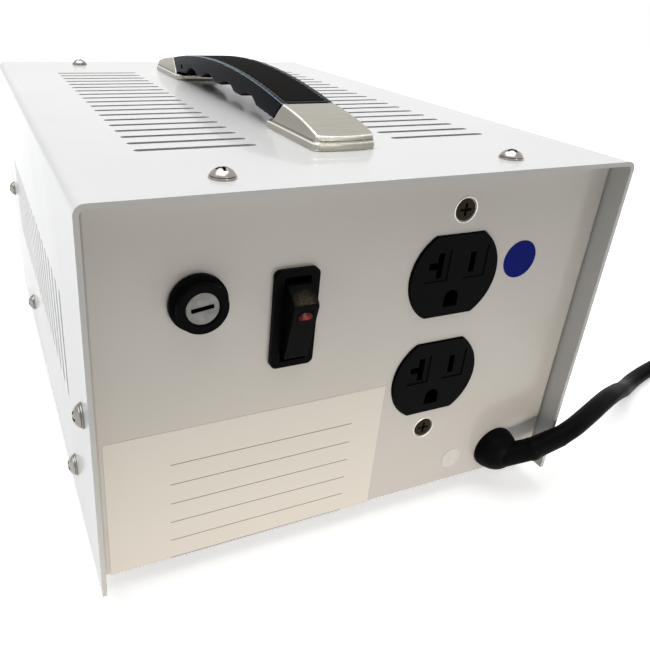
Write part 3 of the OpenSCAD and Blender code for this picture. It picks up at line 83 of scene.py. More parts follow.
class StageSettings(bpy.types.PropertyGroup):
    """Camera, lights, floor and world"""
    camera_place: bpy.props.FloatVectorProperty(
        name="Camera place", description="Where the camera stands",
        default=(-0.1084, -0.2726, 0.1829), subtype="TRANSLATION", unit="LENGTH")
    camera_right: bpy.props.FloatVectorProperty(
        name="Camera right", description="Direction to the right of the picture",
        default=(0.9202, -0.3885, 0.0486), subtype="DIRECTION")
    camera_up: bpy.props.FloatVectorProperty(
        name="Camera up", description="Direction to the top of the picture",
        default=(0.1320, 0.4247, 0.8957), subtype="DIRECTION")
    lens: bpy.props.FloatProperty(
        name="Lens", description="Focal length in millimetres on a 36 mm wide sensor",
        default=36.216, min=10)
    shift: bpy.props.FloatVectorProperty(
        name="Lens shift", description="Shift of the view that frames the photograph",
        size=2, default=(0.1035, -0.039))
    floor_width: bpy.props.FloatProperty(
        name="Floor width", description="Width of the pale floor", default=5.0, unit="LENGTH")
    floor_colour: bpy.props.FloatVectorProperty(
        name="Floor colour", description="Colour of the floor",
        default=(0.85, 0.85, 0.84), subtype="COLOR")
    shadow_reach: bpy.props.FloatVectorProperty(
        name="Shadow reach", description="Distances from the middle over which shadows fade out",
        size=2, default=(0.25, 0.8), unit="LENGTH")
    key_power: bpy.props.FloatProperty(
        name="Top light", description="Power of the large light over the case",
        default=28.5, unit="POWER")
    side_power: bpy.props.FloatProperty(
        name="Side light", description="Power of the light at the left", default=1.5, unit="POWER")
    front_power: bpy.props.FloatProperty(
        name="Front light", description="Power of the weak warm light in front",
        default=0.85, unit="POWER")
    world_colour: bpy.props.FloatVectorProperty(
        name="World colour", description="Colour of the light from all sides",
        default=(0.92, 0.96, 1.0), subtype="COLOR")
    world_strength: bpy.props.FloatProperty(
        name="World strength", description="Strength of the light from all sides", default=0.10, min=0)


class CordSettings(bpy.types.PropertyGroup):
    """Supply cord and its entry"""
    diameter: bpy.props.FloatProperty(
        name="Diameter", description="Diameter of the supply cord", default=0.0076, unit="LENGTH")
    length: bpy.props.FloatProperty(
        name="Length", description="Length of the free cord, with its coil",
        default=1.684, unit="LENGTH")
    turn_gap: bpy.props.FloatProperty(
        name="Gap between turns", description="Free room between neighbouring turns of the coil",
        default=0.0006, unit="LENGTH")
    colour: bpy.props.FloatVectorProperty(
        name="Cord colour", description="Colour of the sheath",
        default=(0.0022, 0.0022, 0.0026), subtype="COLOR")


class CaseSettings(bpy.types.PropertyGroup):
    """Cover, chassis and labels"""
    powder_colour: bpy.props.FloatVectorProperty(
        name="Powder coat", description="Colour of the powder coat",
        default=(0.80, 0.80, 0.79), subtype="COLOR")
    panel_colour: bpy.props.FloatVectorProperty(
        name="Panel coat", description="Colour of the panels",
        default=(0.53, 0.497, 0.454), subtype="COLOR")
    # Painted shade inside the cover's walls and under its top; the front and rear cut edges get the same
    # darker colour
    inside_shade_and_cut_edge_colour: bpy.props.FloatVectorProperty(
        name="Inside coat", description="Colour of the thinner coat inside the cover",
        default=(0.50, 0.49, 0.47), subtype="COLOR")
    edge_bevel: bpy.props.FloatProperty(
        name="Sheet edge", description="Width of the softened sheet edges",
        default=0.00025, unit="LENGTH")
    label_colour: bpy.props.FloatVectorProperty(
        name="Label colour", description="Colour of the rating label",
        default=(0.66, 0.62, 0.557), subtype="COLOR")
    dot_colour: bpy.props.FloatVectorProperty(
        name="Dot colour", description="Colour of the round dot",
        default=(0.006, 0.012, 0.15), subtype="COLOR")


class HandleSettings(bpy.types.PropertyGroup):
    """Carrying handle"""
    cap_cell: bpy.props.FloatProperty(
        name="Cap mesh", description="Cell of the caps' even mesh, which sets how round their edges are",
        default=0.0003, unit="LENGTH")
    grip_cell: bpy.props.FloatProperty(
        name="Grip mesh", description="Cell of the grip's even mesh, which sets how round its edges are",
        default=0.0004, unit="LENGTH")
    cap_colour: bpy.props.FloatVectorProperty(
        name="Cap colour", description="Colour of the caps' metal",
        default=(0.40, 0.38, 0.325), subtype="COLOR")
    grip_colour: bpy.props.FloatVectorProperty(
        name="Grip colour", description="Colour of the grip",
        default=(0.003, 0.0038, 0.008), subtype="COLOR")
    # The caps' edge colour is a painted highlight on their rounded outer edges
    cap_edge_highlight_colour: bpy.props.FloatVectorProperty(
        name="Cap edge colour", description="Colour of the caps' polished edges",
        default=(0.97, 0.97, 0.94), subtype="COLOR")
    # The grip's edge colour is a painted bluish highlight on its upper outer edges
    grip_edge_highlight_colour: bpy.props.FloatVectorProperty(
        name="Grip edge colour", description="Colour of the grip's worn upper edges",
        default=(0.46, 0.64, 0.76), subtype="COLOR")


class PanelSettings(bpy.types.PropertyGroup):
    """Fuse holder, rocker switch and outlet"""
    trim_bevel: bpy.props.FloatProperty(
        name="Trim edge", description="Width of the rounded edges of the moulded pieces",
        default=0.0004, unit="LENGTH")
    black_colour: bpy.props.FloatVectorProperty(
        name="Black plastic", description="Colour of the black mouldings",
        default=(0.0013, 0.0013, 0.0013), subtype="COLOR")
    knob_colour: bpy.props.FloatVectorProperty(
        name="Fuse disc", description="Colour of the slotted disc",
        default=(0.265, 0.262, 0.255), subtype="COLOR")
    # The lens colours hold a painted highlight in its middle and painted shade away from it
    lens_colour: bpy.props.FloatVectorProperty(
        name="Lens colour", description="Colour of the middle of the switch's lens",
        default=(0.36, 0.035, 0.012), subtype="COLOR")
    lens_edge_colour: bpy.props.FloatVectorProperty(
        name="Lens edge", description="Colour of the lens away from its middle",
        default=(0.055, 0.004, 0.002), subtype="COLOR")


# Making and finishing pieces

def only(piece):
    """Selects one piece and nothing else."""
    if bpy.context.object and bpy.context.object.mode != "OBJECT":
        bpy.ops.object.mode_set(mode="OBJECT")
    bpy.ops.object.select_all(action="DESELECT")
    piece.select_set(True)
    bpy.context.view_layer.objects.active = piece


def merged_copy(node, name):
    """A new piece that starts as a merged copy of a CAD node's mesh."""
    piece = bpy.data.objects.new(name, NODES[node].data.copy())
    bpy.context.scene.collection.objects.link(piece)
    only(piece)
    bpy.ops.mesh.customdata_custom_splitnormals_clear()
    bpy.ops.object.mode_set(mode="EDIT")
    bpy.ops.mesh.select_all(action="SELECT")
    bpy.ops.mesh.remove_doubles(threshold=0.000002)
    bpy.ops.mesh.dissolve_limited(angle_limit=math.radians(FLAT_ANGLE))
    bpy.ops.object.mode_set(mode="OBJECT")
    return piece


def give(piece, *finishes):
    """Gives a new piece its finishes, the one of its faces first."""
    piece.data.materials.clear()
    for finish in finishes:
        piece.data.materials.append(finish)


def soften(piece, width, segments=3):
    """Rounds the sharp edges of a piece and shades it smooth. The new faces get its last finish."""
    only(piece)
    bevel = piece.modifiers.new("Round edges", "BEVEL")
    bevel.material = len(piece.data.materials) - 1
    bevel.width = width
    bevel.segments = segments
    bevel.limit_method = "ANGLE"
    bevel.angle_limit = math.radians(SHARP_ANGLE)
    bevel.miter_outer = "MITER_ARC"
    bpy.ops.object.modifier_apply(modifier=bevel.name)
    bpy.ops.object.shade_smooth_by_angle(angle=math.radians(SMOOTH_ANGLE))
    flats = piece.modifiers.new("Keep flats flat", "WEIGHTED_NORMAL")
    flats.keep_sharp = True
    bpy.ops.object.modifier_apply(modifier=flats.name)


def dress(piece, body, slot, *nodes):
    """Gives a piece its body, and hides the CAD nodes that it stands for. Its slot is not used."""
    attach(piece, body)
    if nodes:
        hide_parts(*nodes)
    return piece


def soft_copy(node, body, slot, finish, width, edge=None, segments=3):
    """A rounded piece in place of one CAD node, with an edge finish of its own if one is given."""
    piece = merged_copy(node, node + "_looks")
    give(piece, finish, edge or finish)
    soften(piece, width, segments)
    return dress(piece, body, slot, node)


def second_finish(piece, wanted):
    """Puts the second finish on the faces that pass a test, and the first on all others."""
    for face in piece.data.polygons:
        face.material_index = 1 if wanted(face) else 0


def cast_copy(node, body, slot, finish, cell, rounds, marked, hollows=()):
    """A piece with cast, well rounded edges in place of one CAD node. It keeps where its edges are."""
    piece = merged_copy(node, node + "_looks")
    give(piece, finish)
    for place, radius, depth in hollows:
        drill(piece, place, radius, depth)
    only(piece)
    even = piece.modifiers.new("Even mesh", "REMESH")
    even.mode = "VOXEL"
    even.voxel_size = cell
    bpy.ops.object.modifier_apply(modifier=even.name)
    before = [v.co.copy() for v in piece.data.vertices]
    rounding = piece.modifiers.new("Rounding", "SMOOTH")
    rounding.factor = 0.5
    rounding.iterations = rounds
    bpy.ops.object.modifier_apply(modifier=rounding.name)
    bpy.ops.object.shade_smooth()
    # How far each marked point moved inwards in the rounding, in cells: the mask for painted edge
    # highlights, and for painted crease shade where it moved outwards
    edges = piece.data.attributes.new("edge", "FLOAT", "POINT")
    for v, mark in zip(piece.data.vertices, edges.data):
        mark.value = (before[v.index] - v.co).dot(v.normal) / cell if marked(v) else 0
    return dress(piece, body, slot, node)


def drill(piece, place, radius, depth):
    """Drills a blind hole along X into a piece. Its mouth is rounded later, when the piece is smoothed.
    """
    bpy.ops.object.select_all(action="DESELECT")
    bpy.ops.mesh.primitive_cylinder_add(
        vertices=32, radius=radius, depth=2 * depth, location=place, rotation=(0, math.pi / 2, 0))
    cutter = bpy.context.object
    only(piece)
    cut = piece.modifiers.new("Drilled hole", "BOOLEAN")
    cut.object = cutter
    bpy.ops.object.modifier_apply(modifier=cut.name)
    bpy.data.objects.remove(cutter)


def loose_parts(mesh):
    """Lists of the faces of each separate part of a mesh."""
    owner = list(range(len(mesh.vertices)))

    def root(index):
        while owner[index] != index:
            owner[index] = owner[owner[index]]
            index = owner[index]
        return index

    for edge in mesh.edges:
        a, b = (root(v) for v in edge.vertices)
        owner[a] = b
    parts = {}
    for face in mesh.polygons:
        parts.setdefault(root(face.vertices[0]), []).append(face)
    return list(parts.values())


def paint_recess_shade(piece, radius, depth):
    """Paints shade in the recesses of screws whose heads point away from the case's middle: puts the
    last finish there.
    """
    head_dome = 0.0006
    steep_slope = 0.6
    mesh = piece.data
    for faces in loose_parts(mesh):
        corners = [mesh.vertices[v].co for face in faces for v in face.vertices]
        low = Vector([min(c[k] for c in corners) for k in range(3)])
        high = Vector([max(c[k] for c in corners) for k in range(3)])
        size = high - low
        axis = max(range(3), key=lambda k: size[k])
        middle = (low + high) / 2
        out = 1 if middle[axis] > MIDDLE[axis] else -1
        top = high[axis] if out > 0 else low[axis]
        for face in faces:
            spot = face.center - middle
            spot[axis] = 0
            below = (top - face.center[axis]) * out
            steep = face.normal[axis] * out < steep_slope
            in_recess = spot.length < radius and below < depth and (steep or below > head_dome)
            face.material_index = 1 if in_recess else 0


def paint(finish, *nodes):
    """Gives CAD nodes a finish in their own material slots."""
    for node in nodes:
        piece = NODES[node]
        if not piece.material_slots:
            piece.data.materials.append(finish)
        for slot in piece.material_slots:
            slot.material = finish


# Node groups that several finishes share

def new_group(name, inputs, outputs):
    """An empty node group with the given sockets: returns the group and its two end nodes."""
    group = bpy.data.node_groups.new(name, "ShaderNodeTree")
    for label, kind, value in inputs:
        socket = group.interface.new_socket(label, in_out="INPUT", socket_type=kind)
        if value is not None:
            socket.default_value = value
    for label, kind in outputs:
        group.interface.new_socket(label, in_out="OUTPUT", socket_type=kind)
    return group, group.nodes.new("NodeGroupInput"), group.nodes.new("NodeGroupOutput")


def grain_group():
    """Fine grain: a height and a soft mask from noise of a given scale."""
    if "Fine grain" in bpy.data.node_groups:
        return bpy.data.node_groups["Fine grain"]
    group, start, end = new_group(
        "Fine grain",
        [("Place", "NodeSocketVector", None), ("Scale", "NodeSocketFloat", 800.0)],
        [("Height", "NodeSocketFloat"), ("Mask", "NodeSocketFloat")],
    )
    noise = group.nodes.new("ShaderNodeTexNoise")
    noise.inputs["Detail"].default_value = 3.0
    broad = group.nodes.new("ShaderNodeTexNoise")
    broad.inputs["Detail"].default_value = 4.0
    share = group.nodes.new("ShaderNodeMath")
    share.operation = "MULTIPLY"
    share.inputs[1].default_value = 0.02
    link = group.links.new
    link(start.outputs["Place"], noise.inputs["Vector"])
    link(start.outputs["Scale"], noise.inputs["Scale"])
    link(start.outputs["Scale"], share.inputs[0])
    link(share.outputs[0], broad.inputs["Scale"])
    link(start.outputs["Place"], broad.inputs["Vector"])
    link(noise.outputs["Fac"], end.inputs["Height"])
    link(broad.outputs["Fac"], end.inputs["Mask"])
    return group


def drift_group():
    """Colour drift: mixes two colours by a mask whose contrast can be set."""
    if "Colour drift" in bpy.data.node_groups:
        return bpy.data.node_groups["Colour drift"]
    group, start, end = new_group(
        "Colour drift",
        [
            ("Mask", "NodeSocketFloat", 0.5), ("Low", "NodeSocketFloat", 0.35),
            ("High", "NodeSocketFloat", 0.65), ("Base", "NodeSocketColor", None),
            ("Other", "NodeSocketColor", None),
        ],
        [("Colour", "NodeSocketColor"), ("Share", "NodeSocketFloat")],
    )
    spread = group.nodes.new("ShaderNodeMapRange")
    mix = group.nodes.new("ShaderNodeMix")
    mix.data_type = "RGBA"
    link = group.links.new
    link(start.outputs["Mask"], spread.inputs["Value"])
    link(start.outputs["Low"], spread.inputs["From Min"])
    link(start.outputs["High"], spread.inputs["From Max"])
    link(spread.outputs["Result"], mix.inputs["Factor"])
    link(start.outputs["Base"], mix.inputs["A"])
    link(start.outputs["Other"], mix.inputs["B"])
    link(mix.outputs["Result"], end.inputs["Colour"])
    link(spread.outputs["Result"], end.inputs["Share"])
    return group


def scratch_group():
    """Fine brushed lines along X of the place that it is given."""
    if "Brushed lines" in bpy.data.node_groups:
        return bpy.data.node_groups["Brushed lines"]
    group, start, end = new_group(
        "Brushed lines",
        [("Place", "NodeSocketVector", None), ("Scale", "NodeSocketFloat", 40.0)],
        [("Height", "NodeSocketFloat")],
    )
    narrowing = 60.0
    stretch = group.nodes.new("ShaderNodeMapping")
    stretch.inputs["Scale"].default_value = (1.0, narrowing, narrowing)
    noise = group.nodes.new("ShaderNodeTexNoise")
    noise.inputs["Detail"].default_value = 5.0
    noise.inputs["Roughness"].default_value = 0.65
    link = group.links.new
    link(start.outputs["Place"], stretch.inputs["Vector"])
    link(stretch.outputs["Vector"], noise.inputs["Vector"])
    link(start.outputs["Scale"], noise.inputs["Scale"])
    link(noise.outputs["Fac"], end.inputs["Height"])
    return group


# Finishes

def finish_base(name, colour, roughness, metallic=0.0):
    """A material with its shader, and a node that gives places on the object."""
    made = bpy.data.materials.new(name)
    made.use_nodes = True
    tree = made.node_tree
    shader = tree.nodes["Principled BSDF"]
    shader.inputs["Base Color"].default_value = (*colour, 1.0)
    shader.inputs["Roughness"].default_value = roughness
    shader.inputs["Metallic"].default_value = metallic
    place = tree.nodes.new("ShaderNodeTexCoord").outputs["Object"]
    return made, tree, shader, place


def add_math(tree, kind, *values):
    """One step of arithmetic on sockets and numbers: returns its result."""
    node = tree.nodes.new("ShaderNodeMath")
    node.operation = kind
    for socket, value in zip(node.inputs, values):
        if isinstance(value, float):
            socket.default_value = value
        else:
            tree.links.new(value, socket)
    return node.outputs[0]


def add_range(tree, value, low, high, start=0.0, end=1.0):
    """Maps a value, which runs from start to end, to the range from low to high."""
    mapped = tree.nodes.new("ShaderNodeMapRange")
    mapped.inputs["From Min"].default_value = start
    mapped.inputs["From Max"].default_value = end
    mapped.inputs["To Min"].default_value = low
    mapped.inputs["To Max"].default_value = high
    tree.links.new(value, mapped.inputs["Value"])
    return mapped.outputs["Result"]


def add_bump(tree, shader, height, strength, distance):
    """Makes a finish look raised where a height is large."""
    bumped = tree.nodes.new("ShaderNodeBump")
    bumped.inputs["Strength"].default_value = strength
    bumped.inputs["Distance"].default_value = distance
    tree.links.new(height, bumped.inputs["Height"])
    tree.links.new(bumped.outputs["Normal"], shader.inputs["Normal"])


def add_grain(tree, place, scale):
    """Fine grain of a given scale at a place."""
    grain = tree.nodes.new("ShaderNodeGroup")
    grain.node_tree = grain_group()
    grain.inputs["Scale"].default_value = scale
    tree.links.new(place, grain.inputs["Place"])
    return grain


def add_drift(tree, shader, mask, other, low=0.35, high=0.65):
    """Turns the shader's colour to another as a mask goes from low to high: returns how far it went."""
    colour = shader.inputs["Base Color"]
    drift = tree.nodes.new("ShaderNodeGroup")
    drift.node_tree = drift_group()
    drift.inputs["Low"].default_value = low
    drift.inputs["High"].default_value = high
    drift.inputs["Other"].default_value = (*other, 1.0)
    if colour.links:
        tree.links.new(colour.links[0].from_socket, drift.inputs["Base"])
    else:
        drift.inputs["Base"].default_value = colour.default_value
    tree.links.new(mask, drift.inputs["Mask"])
    tree.links.new(drift.outputs["Colour"], colour)
    return drift.outputs["Share"]


def grained(name, colour, other, roughness, rough_spread, scale, bump, metallic=0.0):
    """A finish with fine grain, a slow drift between two colours and a roughness that follows it."""
    made, tree, shader, place = finish_base(name, colour, roughness, metallic)
    grain = add_grain(tree, place, scale)
    share = add_drift(tree, shader, grain.outputs["Mask"], other)
    rough = add_range(tree, share, roughness, roughness + rough_spread)
    tree.links.new(rough, shader.inputs["Roughness"])
    add_bump(tree, shader, grain.outputs["Height"], bump, distance=0.0002)
    return made


def coated(made, weight, roughness):
    """Puts a clear coat on a finish."""
    shader = made.node_tree.nodes["Principled BSDF"]
    shader.inputs["Coat Weight"].default_value = weight
    shader.inputs["Coat Roughness"].default_value = roughness
    return made


def powder_coat(name, colour):
    """Light powder coat: a soft sheen over a faint orange peel."""
    other = tuple(0.965 * c for c in colour)
    made = grained(name, colour, other, roughness=0.34, rough_spread=0.08, scale=900.0, bump=0.10)
    return coated(made, weight=0.45, roughness=0.08)


def brushed_metal(name, colour, other, roughness):
    """Brushed metal whose lines run along X."""
    rough_spread = 0.16
    made, tree, shader, place = finish_base(name, colour, roughness, metallic=1.0)
    lines = tree.nodes.new("ShaderNodeGroup")
    lines.node_tree = scratch_group()
    tree.links.new(place, lines.inputs["Place"])
    height = lines.outputs["Height"]
    add_drift(tree, shader, height, other)
    rough = add_range(tree, height, roughness, roughness + rough_spread)
    tree.links.new(rough, shader.inputs["Roughness"])
    add_bump(tree, shader, height, strength=0.25, distance=0.00008)
    return made


def edge_highlight_and_crease_shade(made, bright, dark):
    """Paints highlights on the rounded outer edges of a cast piece's finish and paints shade in its
    creases.
    """
    rounded = (0.10, 0.40)
    creased = (-0.08, -0.3)
    tree = made.node_tree
    edge = tree.nodes.new("ShaderNodeAttribute")
    edge.attribute_name = "edge"
    for other, (low, high) in ((bright, rounded), (dark, creased)):
        add_drift(tree, tree.nodes["Principled BSDF"], edge.outputs["Fac"], other, low, high)
    return made


def painted_light_falloff(made, middle, near, far, other):
    """Paints light or shade round a place on the piece: turns a finish to another colour from one
    distance from the place to a farther one.
    """
    tree = made.node_tree
    away = tree.nodes.new("ShaderNodeVectorMath")
    away.operation = "DISTANCE"
    away.inputs[1].default_value = middle
    tree.links.new(tree.nodes["Texture Coordinate"].outputs["Object"], away.inputs[0])
    add_drift(tree, tree.nodes["Principled BSDF"], away.outputs["Value"], other, near, far)
    return made


def plated_metal(name, colour, roughness=0.2):
    """Plated steel with a faintly uneven shine."""
    other = tuple(0.8 * c for c in colour)
    return grained(
        name, colour, other, roughness, rough_spread=0.14, scale=700.0, bump=0.08, metallic=1.0)


def with_shine(made, shine):
    """Sets how strongly a finish mirrors what is around it."""
    made.node_tree.nodes["Principled BSDF"].inputs["Specular IOR Level"].default_value = shine
    return made


def moulded_plastic(name, colour, roughness, scale=1400.0, bump=0.18, shine=0.025):
    """Moulded plastic with a fine grain."""
    other = tuple(1.4 * c + 0.0004 for c in colour)
    made = grained(name, colour, other, roughness, rough_spread=0.10, scale=scale, bump=bump)
    return with_shine(made, shine)


def clear_glass(name):
    """Clear glass with a faintly uneven surface."""
    made, tree, shader, place = finish_base(name, (0.92, 0.97, 0.97), 0.05)
    shader.inputs["Transmission Weight"].default_value = 1.0
    shader.inputs["IOR"].default_value = 1.47
    grain = add_grain(tree, place, scale=300.0)
    add_bump(tree, shader, grain.outputs["Height"], strength=0.03, distance=0.0001)
    return made


def wound_wire(name, centre):
    """Enamelled wire wound round a ring: fine ridges that run out from the ring's centre."""
    wires = 160.0
    made, tree, shader, place = finish_base(name, (0.20, 0.075, 0.02), 0.3)
    centred = tree.nodes.new("ShaderNodeMapping")
    centred.inputs["Location"].default_value = tuple(-c for c in centre)
    parts = tree.nodes.new("ShaderNodeSeparateXYZ")
    tree.links.new(place, centred.inputs["Vector"])
    tree.links.new(centred.outputs["Vector"], parts.inputs["Vector"])
    angle = add_math(tree, "ARCTAN2", parts.outputs["Y"], parts.outputs["X"])
    wave = add_math(tree, "SINE", add_math(tree, "MULTIPLY", angle, wires))
    add_drift(tree, shader, wave, (0.55, 0.27, 0.08), low=-0.8, high=0.6)
    add_bump(tree, shader, wave, strength=0.6, distance=0.0004)
    return coated(made, weight=0.6, roughness=0.2)


def ruled_label(name, colour, left, low):
    """A bare label: cream film with a few faint ruled lines that leave its fields empty."""
    line_start = 0.020
    line_end = 0.084
    lines_top = 0.046
    line_pitch = 0.0078
    line_width = 0.00032
    made, tree, shader, place = finish_base(name, colour, 0.45)
    parts = tree.nodes.new("ShaderNodeSeparateXYZ")
    tree.links.new(place, parts.inputs["Vector"])
    across = add_math(tree, "SUBTRACT", parts.outputs["X"], left)
    up = add_math(tree, "SUBTRACT", parts.outputs["Z"], low)
    started = add_math(tree, "GREATER_THAN", across, line_start)
    ruled = add_math(tree, "MULTIPLY", started, add_math(tree, "LESS_THAN", across, line_end))
    ruled = add_math(tree, "MULTIPLY", ruled, add_math(tree, "LESS_THAN", up, lines_top))
    row = add_math(tree, "FLOORED_MODULO", up, line_pitch)
    ruled = add_math(tree, "MULTIPLY", ruled, add_math(tree, "LESS_THAN", row, line_width))
    add_drift(tree, shader, ruled, (0.16, 0.15, 0.14), low=0.0, high=1.0)
    grain = add_grain(tree, place, scale=1800.0)
    add_bump(tree, shader, grain.outputs["Height"], strength=0.06, distance=0.0001)
    return made


def shown_white(tree, dim_shader, white_shader):
    """Mixes a dim shader with the one that the camera, gloss and glass see in its place."""
    path = tree.nodes.new("ShaderNodeLightPath")
    seen = path.outputs["Is Camera Ray"]
    for ray in ("Is Glossy Ray", "Is Transmission Ray"):
        seen = add_math(tree, "MAXIMUM", seen, path.outputs[ray])
    mix = tree.nodes.new("ShaderNodeMixShader")
    tree.links.new(seen, mix.inputs["Fac"])
    tree.links.new(dim_shader, mix.inputs[1])
    tree.links.new(white_shader, mix.inputs[2])
    return mix.outputs[0]


# One operator for the stage and for each group of pieces

class STEPDOWN_OT_stage(bpy.types.Operator):
    """Makes the camera, the lights, the pale floor and the world"""
    bl_idname = "stepdown.stage"
    bl_label = "Stage"

    def execute(self, context):
        look = context.scene.stepdown_stage
        right = Vector(look.camera_right)
        up = Vector(look.camera_up)
        back = right.cross(up).normalized()
        up = back.cross(right).normalized()
        right.normalize()
        data = bpy.data.cameras.new("Camera")
        data.sensor_width = 36.0
        data.lens = look.lens
        data.shift_x, data.shift_y = look.shift
        data.clip_start = 0.01
        camera = bpy.data.objects.new("Camera", data)
        turn = Matrix((right, up, back)).transposed().to_4x4()
        camera.matrix_world = Matrix.Translation(look.camera_place) @ turn
        context.scene.collection.objects.link(camera)
        context.scene.camera = camera
        self.add_lights(context, look)
        self.add_floor(context, look)
        self.add_world(context, look)
        context.scene.view_settings.view_transform = "Standard"
        return {"FINISHED"}

    def add_lights(self, context, look):
        """Three lights, each with its place, its aim, its width, its spread in degrees and its colour"""
        lights = (
            ("Top light", look.key_power, (-0.10, 0.10, 1.6), (0, 0, 0.07), 1.8, 180, (1.0, 1.0, 1.0)),
            ("Side light", look.side_power, (-1.5, -0.1, 0.35), (0, 0, 0.03), 1.0, 180,
             (0.72, 0.88, 1.0)),
            ("Front light", look.front_power, (0.12, -0.82, 0.02), (-0.03, -0.13, -0.22), 0.3, 46,
             (1.0, 0.95, 0.88)),
        )
        for name, power, place, target, width, spread, colour in lights:
            data = bpy.data.lights.new(name, "AREA")
            data.size = width
            data.spread = math.radians(spread)
            data.energy = power
            data.color = colour
            light = bpy.data.objects.new(name, data)
            aim = (Vector(target) - Vector(place)).to_track_quat("-Z", "Y")
            light.matrix_world = Matrix.Translation(place) @ aim.to_matrix().to_4x4()
            context.scene.collection.objects.link(light)

    def add_floor(self, context, look):
        """A floor that glows from some way out, so that only the shadow round the object stays"""
        bpy.ops.object.select_all(action="DESELECT")
        bpy.ops.mesh.primitive_plane_add(size=look.floor_width, location=(0, 0, 0))
        floor = context.object
        floor.name = "Floor"
        made, tree, shader, place = finish_base("Pale floor", look.floor_colour, 0.9)
        shader.inputs["Specular IOR Level"].default_value = 0.0
        away = tree.nodes.new("ShaderNodeVectorMath")
        away.operation = "LENGTH"
        tree.links.new(place, away.inputs[0])
        glow = tree.nodes.new("ShaderNodeEmission")
        near_glow = 0.55
        rise = add_range(tree, away.outputs["Value"], near_glow, 1.0, *look.shadow_reach)
        tree.links.new(rise, glow.inputs["Strength"])
        both = tree.nodes.new("ShaderNodeAddShader")
        tree.links.new(shader.outputs["BSDF"], both.inputs[0])
        tree.links.new(glow.outputs["Emission"], both.inputs[1])
        seen = shown_white(tree, shader.outputs["BSDF"], both.outputs[0])
        tree.links.new(seen, tree.nodes["Material Output"].inputs["Surface"])
        floor.data.materials.append(made)

    def add_world(self, context, look):
        """A dim world that the camera, gloss and glass see as white"""
        world = bpy.data.worlds.new("White studio")
        context.scene.world = world
        world.use_nodes = True
        tree = world.node_tree
        dim = tree.nodes["Background"]
        dim.inputs["Color"].default_value = (*look.world_colour, 1.0)
        dim.inputs["Strength"].default_value = look.world_strength
        white = tree.nodes.new("ShaderNodeBackground")
        white.inputs["Color"].default_value = (1.0, 1.0, 1.0, 1.0)
        white.inputs["Strength"].default_value = 1.0
        seen = shown_white(tree, dim.outputs["Background"], white.outputs["Background"])
        tree.links.new(seen, tree.nodes["World Output"].inputs["Surface"])


class STEPDOWN_OT_cord(bpy.types.Operator):
    """Lays the supply cord and its coil, with the tie and the plug"""
    bl_idname = "stepdown.cord"
    bl_label = "Supply cord"

    def execute(self, context):
        look = context.scene.stepdown_cord
        places = self.free_places() + self.coil_places(look)
        data = bpy.data.curves.new("supply_cord", "CURVE")
        data.dimensions = "3D"
        data.bevel_depth = look.diameter / 2
        data.bevel_resolution = 5
        data.use_fill_caps = True
        line = data.splines.new("POLY")
        line.points.add(len(places) - 1)
        for point, place in zip(line.points, places):
            point.co = (*place, 1.0)
        line.use_smooth = True
        cord = bpy.data.objects.new("supply_cord", data)
        context.scene.collection.objects.link(cord)
        sheath = moulded_plastic("Cord sheath", look.colour, 0.46, scale=2600.0, bump=0.06)
        give(cord, sheath)
        dress(cord, "case", "cord_black", "power_cord", "cord_coil")
        rubber = moulded_plastic("Plug rubber", look.colour, 0.42, scale=1500.0, bump=0.3)
        plug = soft_copy("plug_body", "case", "rubber_black", rubber, PLUG_EDGE, segments=4)
        strap = moulded_plastic("Tie strap", (0.02, 0.02, 0.022), 0.8, scale=2200.0, bump=0.8)
        tie = soft_copy("coil_tie", "case", "matte_black", strap, SMALL_EDGE)
        brass = plated_metal("Plug brass", (0.75, 0.55, 0.26))
        pins = soft_copy("plug_pins", "case", "brass_contact", brass, SMALL_EDGE)
        return {"FINISHED"}

    def free_places(self):
        """The free stretch: a smooth line through the points"""
        steps = 8
        points = [Vector(p) for p in CORD_POINTS]
        count = len(points)
        places = []
        for i in range(count - 1):
            a = points[max(i - 1, 0)]
            b = points[i]
            c = points[i + 1]
            d = points[min(i + 2, count - 1)]
            for k in range(steps):
                t = k / steps
                spot = 0.5 * (
                    2 * b + (c - a) * t + (2 * a - 5 * b + 4 * c - d) * t * t
                    + (3 * b - a - 3 * c + d) * t ** 3)
                places.append(spot * MM)
        return places

    def coil_places(self, look):
        """Two layers of turns: inwards on the table, a half turn of climbing, and outwards on top"""
        steps_per_turn = 72
        climb_turns = 0.5
        diameter = look.diameter / MM
        pitch = (look.diameter + look.turn_gap) / MM
        last = Vector(CORD_POINTS[-1])
        centre = Vector((last.x + diameter, last.y - COIL_RADIUS, 0))
        inner = COIL_RADIUS - pitch * COIL_TURNS
        total = 2 * COIL_TURNS + climb_turns
        places = [last * MM]
        for i in range(round(total * steps_per_turn) + 1):
            t = i / steps_per_turn
            climb = (t - COIL_TURNS) / climb_turns
            if t < COIL_TURNS:
                radius = COIL_RADIUS - pitch * t
                height = 0.0
            elif climb < 1:
                radius = inner - pitch * 0.5 * (climb - climb * climb)
                height = climb * climb * (3 - 2 * climb)
            else:
                radius = inner + pitch * (t - COIL_TURNS - climb_turns)
                height = 1.0
            angle = math.radians(90 - 360 * t)
            flat = centre + radius * Vector((math.cos(angle), math.sin(angle), 0))
            places.append(Vector((flat.x, flat.y, last.z + pitch * height)) * MM)
        places.append(places[-1] - Vector((diameter * MM, 0, 0)))
        return places


